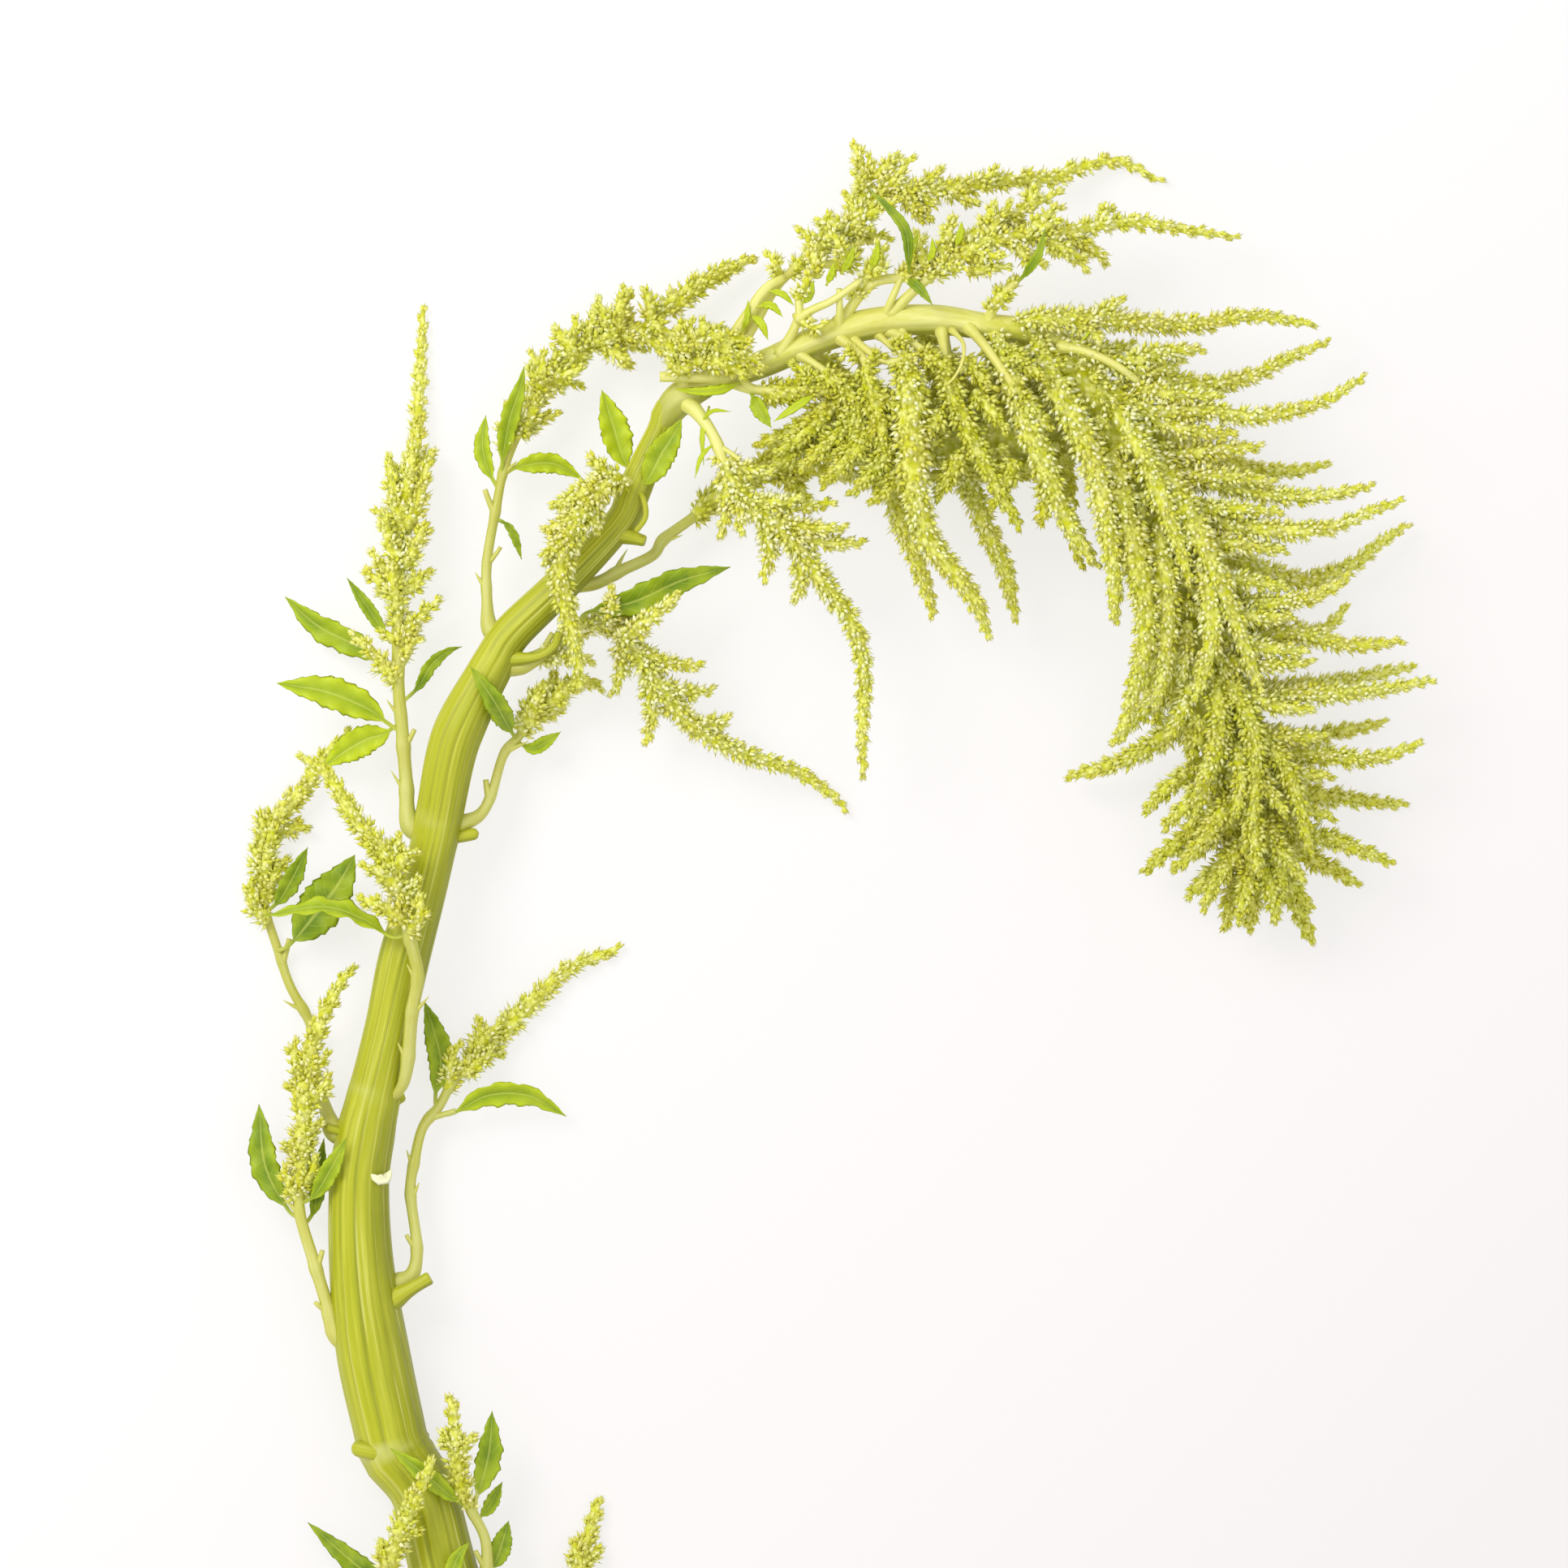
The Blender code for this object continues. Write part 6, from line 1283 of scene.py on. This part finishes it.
        ([(211, 373, 37), (210.5, 378, 39), (209, 383, 39)], 2.1),
        ([(224, 373, 40), (230, 373, 41), (235.5, 370, 40)], 2.1),
    ],
    "spray_top_left": [
        ([(203, 386, 14.5), (210, 391.5, 12.6), (217.5, 396.8, 11), (226, 401.2, 8.9), (232, 404, 7.2)], 2.6),
        ([(196, 381.5, 15), (201, 378, 18), (206.5, 373.5, 18)], 2.3),
        ([(199, 383, 15), (204, 381, 18), (210, 378, 17)], 2.3),
        ([(200, 384, 15), (200.5, 389, 17), (198.5, 394.5, 17)], 2.0),
        ([(188, 380, 15), (186, 386, 18), (183.5, 391, 18)], 2.2),
        ([(190, 381, 15), (191, 388, 18), (193, 394, 17)], 2.3),
        ([(186, 379, 15), (190, 374, 17), (195, 370.5, 16)], 2.1),
        ([(178, 374, 15), (174, 378, 17), (171, 382.5, 16)], 2.1),
        ([(160, 350, 15), (164, 356, 18), (165.5, 362.5, 18)], 2.0),
        ([(170, 366, 15), (175, 368, 18), (180, 369.5, 18)], 2.1),
        ([(176, 371, 15), (176, 378, 18), (178, 385, 18)], 2.1),
        ([(182, 377, 15), (188, 380, 18), (192, 386, 18)], 2.0),
        ([(190, 380, 15), (195, 379, 17), (199.5, 377, 16)], 2.0),
        ([(157, 344, 15), (156, 352, 17), (157, 359, 17)], 1.9),
        ([(166, 362, 15), (167, 368, 18), (167, 375, 18)], 1.9),
    ],
}
# small pointed bracts of the head: route and widest width
extraBracts = [
    ([(259, 398, 38.5), (261.5, 402, 41.5), (263, 406.5, 42.5)], 3.2),
    ([(268, 399, 39.5), (269.5, 403, 42.5), (270.5, 408, 43)], 3.4),
    ([(254.5, 394.5, 38), (256, 398, 40), (257, 401.5, 40.5)], 3.0),
    ([(246.5, 388.5, 37), (249.5, 391.5, 39), (250.5, 396, 39.5)], 2.8),
    ([(279, 402, 40), (281, 406, 42.5), (282.5, 410.5, 42.5)], 3.0),
    ([(285, 401, 40.5), (287, 404.5, 42.5), (287, 409, 42.5)], 2.8),
    ([(294, 406, 41), (295.5, 410, 42.5), (296, 414, 42)], 3.0),
    ([(233, 388, 34.5), (237.5, 388.5, 37), (241, 385, 37)], 3.2),
    ([(231, 385.5, 34.5), (234.5, 383, 37.5), (236.5, 378, 37.5)], 3.4),
    ([(236.5, 393, 34), (241, 392, 36.5), (244.5, 388.5, 36.5)], 2.8),
    ([(228.5, 380, 33), (230, 384, 35.5), (230.5, 390, 35.5)], 2.6),
    ([(251.5, 361.5, 38.5), (246.5, 358, 41), (238.5, 352.8, 40)], 3.6),
    ([(229, 365.5, 32), (223, 362.8, 35.2), (215.5, 362, 36), (208, 362.8, 35.6)], 4.2),
    ([(216, 352.5, 35.5), (219.5, 356, 38.5), (225, 355.8, 39)], 1.7),
    ([(220.5, 346.5, 37), (216.2, 342, 39.5), (214.2, 335.5, 39)], 1.9),
    ([(336.5, 382.8, 38.5), (334.8, 379.8, 40.5), (332, 376.8, 40.5)], 1.2),
    ([(218.5, 357.5, 31), (216.5, 349, 36.5), (216.8, 339.5, 37)], 2.2),
]

# painted shade on each part of the head and on its cores, deepest under the arch and at the back
headShade = {"crown": 0.0, "outer": 0.0, "tip": 0.2, "front": 0.0, "inner": 0.65, "back": 0.45, "middle": 0.0}
coreShade = 0.3
# painted shade darkens the spikes that end low in the head: from which y, over what span, and by how much
lowShade = {"from": 275.0, "span": 55.0, "most": 0.55}
# a spray's own traits: how much its flowers are darkened, partly their own deeper colour and partly painted
# shade, whether they are as dense and pale as the head's, and its stalk's flare at the foot and how olive it
# is
commonTraits = {"shade": 0.22, "dense": False, "flare": 1.35, "olive": 0.6}
sprayTraits = {
    "spray_left_tall": {"shade": 0.0, "flare": 1.0},
    "spray_front_mid": {"flare": -0.45},
    "spray_left_low": {"olive": 0.4},
    "spray_right_short": {"flare": 0.9},
    "spray_right_long": {"shade": 0.0, "dense": True},
    "spray_front_hanging": {"dense": True, "flare": -0.35, "olive": 0.1},
    "spray_centre_hanging": {"shade": 0.0, "dense": True, "flare": 0.5, "olive": 0.0},
    "spray_back": {"shade": 0.55, "dense": True, "flare": 0.15},
    "spray_arch_short": {"flare": 0.3, "olive": 0.0},
}

headSpikes = {region: [spike for spec in specs for spike in spikesOf(spec)]
              for region, specs in headBranches.items()}
headSpikes["middle"] = []    # short spikes only
coreSpikes = {}    # the dense inside of the head, as fat spikes
for name, stations in headCores.items():
    fine = smoothRoute(stations, 1.0)
    coreSpikes[name] = [(fine[:, :3], fine[:, 3])]
spraySpikes = {name: spikesOf(spec) for name, spec in sprays.items()}
for place, routes in extraSpikes.items():
    group = headSpikes if place in headSpikes else spraySpikes
    group[place] += [oneSpike(route, radius * spikeFullness) for route, radius in routes]
everySpike = [spike for group in (headSpikes, coreSpikes, spraySpikes) for spikes in group.values()
              for spike in spikes]
insides = {"centre": np.vstack([axis for axis, _ in everySpike]),
           "radius": np.concatenate([radii for _, radii in everySpike])}
print("spikes:", len(everySpike), "with a length in mm of", len(insides["centre"]))

# the arch swells out of the stem's end; its lower side is fluted, with painted olive shade on it and in the
# flutes
archLook = {
    "inStem": [(203.2, 350.0, 26.5, 7.0), (207.2, 357.4, 27.0, 9.6), (211.6, 361.2, 27.3, 10.4)],
    "gap": 1.6, "sides": 64, "fullness": 1.03, "twist": 0.0014,
    "grooves": [(175, 9, 0.07), (140, 8, 0.04), (212, 8, 0.05), (65, 7, 0.02), (110, 7, 0.035),
                (20, 8, 0.02)],
    # low and inGrooves give painted shade, olive on the arch's lower side and in its flutes; atFoot is the
    # stem's own olive at the joint
    "low": (0.05, 0.8, 0.75),    # where round it the olive starts, over what part, and how strong it is
    "inGrooves": 3.0, "atFoot": 1.3, "footLength": 13.0,
}


def addArch(pile, look):
    arch = smoothRoute(look["inStem"] + rachis, look["gap"])
    mask = grooveMask(stepsAlong(arch, look["gap"]), turnsRound(look["sides"]), look)
    points, faces, grain = tubeSurface(arch, arch[:, 3:4] / 2 * (look["fullness"] - mask), look["sides"])
    start, span, most = look["low"]
    # painted shade on the lower side and in the flutes, and the stem's own olive at the foot
    under = (most * np.clip((start - grain[:, 0]) / span, 0, 1) + look["inGrooves"] * withEnds(mask)
             + look["atFoot"] * np.exp(-(grain[:, 2] / look["footLength"]) ** 2))
    pile.add(points, faces, grain=grain, under=np.clip(under, 0, 1))


def makeHeadStalks(look):
    pile = MeshPile()
    addArch(pile, archLook)
    for specs in headBranches.values():
        for spec in specs:
            addStalk(pile, spec, look)
    for route, first, last in extraStalks:
        part = smoothRoute(route, look["gap"])
        radii = flared(np.linspace(first, last, len(part)), stepsAlong(part, look["gap"]), look)
        addTube(pile, part, radii, look["sides"], under=0.0)
    pile.finish("seed_head_stalks", stalkSkin, "stem", "seed_head")


# one piece of flowers; its spikes get the painted shade given, or more where they end low
def makeFlowers(name, node, spikes, look, shade, shadeLow, rng):
    pile = MeshPile()
    for axis, radii in spikes:
        low = float(np.clip((lowShade["from"] - axis[-1, 1]) / lowShade["span"], 0, 1))
        addSpike(pile, axis, radii, look, max(shade, shadeLow * low), rng)
    pile.finish(name, floretSkin, "florets", node)


makeHeadStalks(stalkLook)
rng, stubRng = np.random.default_rng(seeds["flowers"]), np.random.default_rng(seeds["stubs"])
for region, spikes in headSpikes.items():
    makeFlowers("seed_head_" + region, "seed_head", spikes, sprayLook if region == "crown" else spikeLook,
                headShade[region], lowShade["most"], rng)
for name, spikes in coreSpikes.items():
    makeFlowers("seed_head_" + name, "seed_head", spikes, spikeLook, coreShade, 0.0, rng)
for name, spikes in spraySpikes.items():
    traits = dict(commonTraits, **sprayTraits.get(name, {}))
    makeFlowers(name + "_flowers", name, spikes, spikeLook if traits["dense"] else sprayLook,
                traits["shade"], 0.0, rng)
    stalk = MeshPile()
    addStalk(stalk, sprays[name], dict(sprayStalk, flare=traits["flare"]), stubRng, traits["olive"])
    stalk.finish(name + "_stalk", stalkSkin, "stem", name)
print("spikes made")

# Leaves

leafLook = {
    "stations": 42, "columns": 10, "step": 0.5, "power": 0.8, "fullness": 0.85,    # the blade's outline
    "petiole": 0.17, "petioleHalf": 0.62, "petioleTaper": 0.75, "petioleThick": 1.1,
    "thickness": 0.45, "neck": 0.12, "tipThin": 0.5, "edge": 4,
    "teeth": 9.0, "toothDepth": 0.085, "toothless": 0.05, "wave": 0.11, "waves": 4.2, "waveSplit": 0.9,
    "tip": 0.4, "lowest": 0.05, "tints": (0.2, 0.7),
}
# a listed tint sets how dark or lime a leaf is, partly its own tone and partly painted light and shade
leafTints = {    # the others draw theirs
    "leaf_left_tall_1": 0.55, "leaf_left_tall_2": 0.75, "leaf_left_tall_3": 0.95, "leaf_left_mid_1": 0.3,
    "leaf_left_mid_2": 0.35, "leaf_left_low_1": 0.35, "leaf_left_low_3": 0.2, "leaf_right_low_1": 0.35,
    "leaf_right_low_2": 0.72, "leaf_right_long": 0.35, "leaf_top_left_1": 0.6, "leaf_top_left_2": 0.7,
    "leaf_top_left_3": 0.85, "leaf_stem_1": 0.85, "leaf_stem_2": 0.6, "leaf_stem_3": 0.2, "leaf_head_1": 0.6,
}
bractLook = dict(leafLook, stations=16, columns=4, petiole=0.1, petioleHalf=0.4, petioleThick=0.7, teeth=4.0,
                 tints=(1.0, 1.4))
bractShare = 0.8    # bracts are this much narrower than listed
# a papery flake that is stuck on the stem
flakeSpec = leaf([(113.6, 121.8, 23.2), (116.2, 120.0, 23.3), (119.0, 120.2, 22.0), (120.6, 122.8, 20.0)],
                 width=3.6, roll=0.2, fold=0.3)


# across: half width W/2 sin(pi s^0.8)^0.85 with small teeth; up: fold |u| + wave u^2 sin(waves s);
# the closed ring goes over the top from u = 1 to -1 and back under it
def addLeaf(pile, spec, look, rng, tint=None, **more):
    drawn = rng.uniform(*look["tints"])
    tint = drawn if tint is None else tint
    stations, columns, width = look["stations"], look["columns"], spec["width"]
    midrib = resampled(smoothRoute(spec["route"], look["step"]), stations)
    tangents, sideways, upward = framesAlong(midrib)
    over = math.cos(spec["roll"]) * sideways + math.sin(spec["roll"]) * upward
    lift = np.cross(tangents, over)
    share = np.linspace(0, 1, stations)
    blade = np.clip((share - look["petiole"]) / (1 - look["petiole"]), 0, 1)
    outline = np.sin(math.pi * blade ** look["power"]) ** look["fullness"]
    teeth = 1 + (look["toothDepth"] * (1 - 2 * ((look["teeth"] * blade) % 1.0))
                 * (outline > look["toothless"]))
    half = np.maximum(outline * width / 2 * teeth, look["petioleHalf"] * (1 - look["petioleTaper"] * blade))
    top = np.linspace(1, -1, columns + 1)
    u = np.concatenate([top, top[-2:0:-1]])
    side = np.concatenate([np.ones(columns + 1), -np.ones(columns - 1)])
    side[[0, columns]] = 0.0
    phase = rng.uniform(0, 2 * math.pi)
    thinner = (look["petioleThick"] - look["thickness"]) * outline / look["neck"]
    thick = np.where(outline > look["neck"], look["thickness"], look["petioleThick"] - thinner)
    thick = thick * (1 - look["tipThin"] * blade)
    body = 0.5 * thick[:, None] * side[None] * np.sqrt(np.maximum(0.0, 1 - np.abs(u[None]) ** look["edge"]))
    turns = 2 * math.pi * look["waves"] * blade[:, None] + phase + look["waveSplit"] * np.sign(u)[None]
    wave = look["wave"] * width * outline[:, None] * u[None] ** 2 * np.sin(turns)
    rise = spec["fold"] * half[:, None] * outline[:, None] * np.abs(u)[None] + wave + body
    skin = (midrib[:, None] + over[:, None] * (half[:, None] * u[None])[..., None]
            + lift[:, None] * rise[..., None]).reshape(-1, 3)
    points = np.vstack([skin, midrib[:1], midrib[-1:] + look["tip"] * tangents[-1:]])
    points[:, 2] = np.maximum(points[:, 2], look["lowest"])
    place = np.column_stack([np.tile(u, stations), np.repeat(share, len(u)), np.full(len(skin), tint)])
    place = np.vstack([place, [[0, 0, tint]], [[0, 1, tint]]])
    pile.add(points, ringFaces(stations, len(u)), blade=place, **more)


rng = np.random.default_rng(seeds["leaves"])
for name, spec in leaves.items():
    pile = MeshPile()
    addLeaf(pile, spec, leafLook, rng, leafTints.get(name))
    pile.finish(name + "_blade", leafSkin, "leaf", name)
bracts = MeshPile()
for route, width in extraBracts:
    addLeaf(bracts, leaf(route, bractShare * width, roll=0.2, fold=0.35), bractLook, rng)
bracts.finish("seed_head_bracts", leafSkin, "leaf", "seed_head")
flake = MeshPile()
addLeaf(flake, flakeSpec, dict(bractLook, stations=14), rng, reach=1.0, tone=0.9, shade=0.0, core=0.0)
flake.finish("main_stem_flake", floretSkin, "florets", "main_stem")
print("leaves made:", len(leaves), "and bracts:", len(extraBracts))

# Floor, light and camera

studio = {
    # the floor darkens toward the lower right into painted shade of the light's falloff
    "floorSize": 6.0, "floorColour": colour(164, 164, 164), "floorPaintedShade": colour(124, 114, 112),
    "floorFall": (-0.75, 0.38),    # metres from the upper left to the lower right, where it dims
    # glow: the floor gives off light of its own, which pales the shadows on it
    "roughness": 0.9, "specular": 0.5, "glow": 0.7, "world": 0.75,
    "key": {"power": 14.5, "size": 0.9, "place": (-0.9, 0.75, 1.3)},
    "fill": {"power": 5.0, "size": 1.6, "place": (0.6, -0.3, 1.8)},
    "cameraHeight": 5.0, "sensor": 36.0, "clipEnd": 100.0,
    "scaleHeight": 0.02,    # the height in metres where the picture's side spans photoSide
}
white = (1, 1, 1, 1)


def addToScene(name, data):
    thing = bpy.data.objects.new(name, data)
    bpy.context.scene.collection.objects.link(thing)
    return thing


# a pale floor that darkens toward the lower right as painted shade, and glows a little so that shadows on it
# stay faint
def buildFloor(look):
    half = look["floorSize"] / 2
    corners = [(-half, -half, 0), (half, -half, 0), (half, half, 0), (-half, half, 0)]
    mesh = bpy.data.meshes.new("floor")
    mesh.from_pydata(corners, [], [(0, 1, 2, 3)])
    floor = addToScene("floor", mesh)
    material, tree, shader = newMaterial("paleFloor", look)
    where = addNode(tree, "ShaderNodeSeparateXYZ", {0: ownPlace(tree)}).outputs
    fall = mapRange(tree, mathNode(tree, "SUBTRACT", where["X"], where["Y"]), *look["floorFall"])
    tree.links.new(mixColours(tree, fall, look["floorColour"], look["floorPaintedShade"]), shader.inputs["Base Color"])
    shader.inputs["Emission Color"].default_value = white
    shader.inputs["Emission Strength"].default_value = look["glow"]
    mesh.materials.append(material)


def buildWorld(look):
    world = bpy.data.worlds.new("studio")
    world.use_nodes = True
    background = world.node_tree.nodes["Background"]
    background.inputs["Color"].default_value = white
    background.inputs["Strength"].default_value = look["world"]
    bpy.context.scene.world = world


def buildLight(name, look, target):    # a square lamp that faces the middle of the picture
    light = bpy.data.lights.new(name, "AREA")
    light.energy = look["power"]
    light.size = look["size"]
    lamp = addToScene(name, light)
    lamp.location = target + np.array(look["place"])
    east, north, up = -np.array(look["place"])
    lamp.rotation_euler = (math.atan2(math.hypot(east, north), -up), 0.0,
                           math.atan2(north, east) - math.pi / 2)


def buildCamera(look, target):    # straight down on the middle of the picture
    camera = bpy.data.cameras.new("camera")
    camera.sensor_width = look["sensor"]
    camera.lens = look["sensor"] * (look["cameraHeight"] - look["scaleHeight"]) / (photoSide * mm)
    camera.clip_end = look["clipEnd"]
    holder = addToScene("camera", camera)
    holder.location = (target[0], target[1], look["cameraHeight"])
    bpy.context.scene.camera = holder


target = np.append((np.array(photoMiddle) - drawingMiddle) * mm, 0.0)
buildFloor(studio)
buildWorld(studio)
for name in ("key", "fill"):
    buildLight(name, studio[name], target)
buildCamera(studio, target)
bpy.context.scene.view_settings.view_transform = "Standard"
print("studio made")
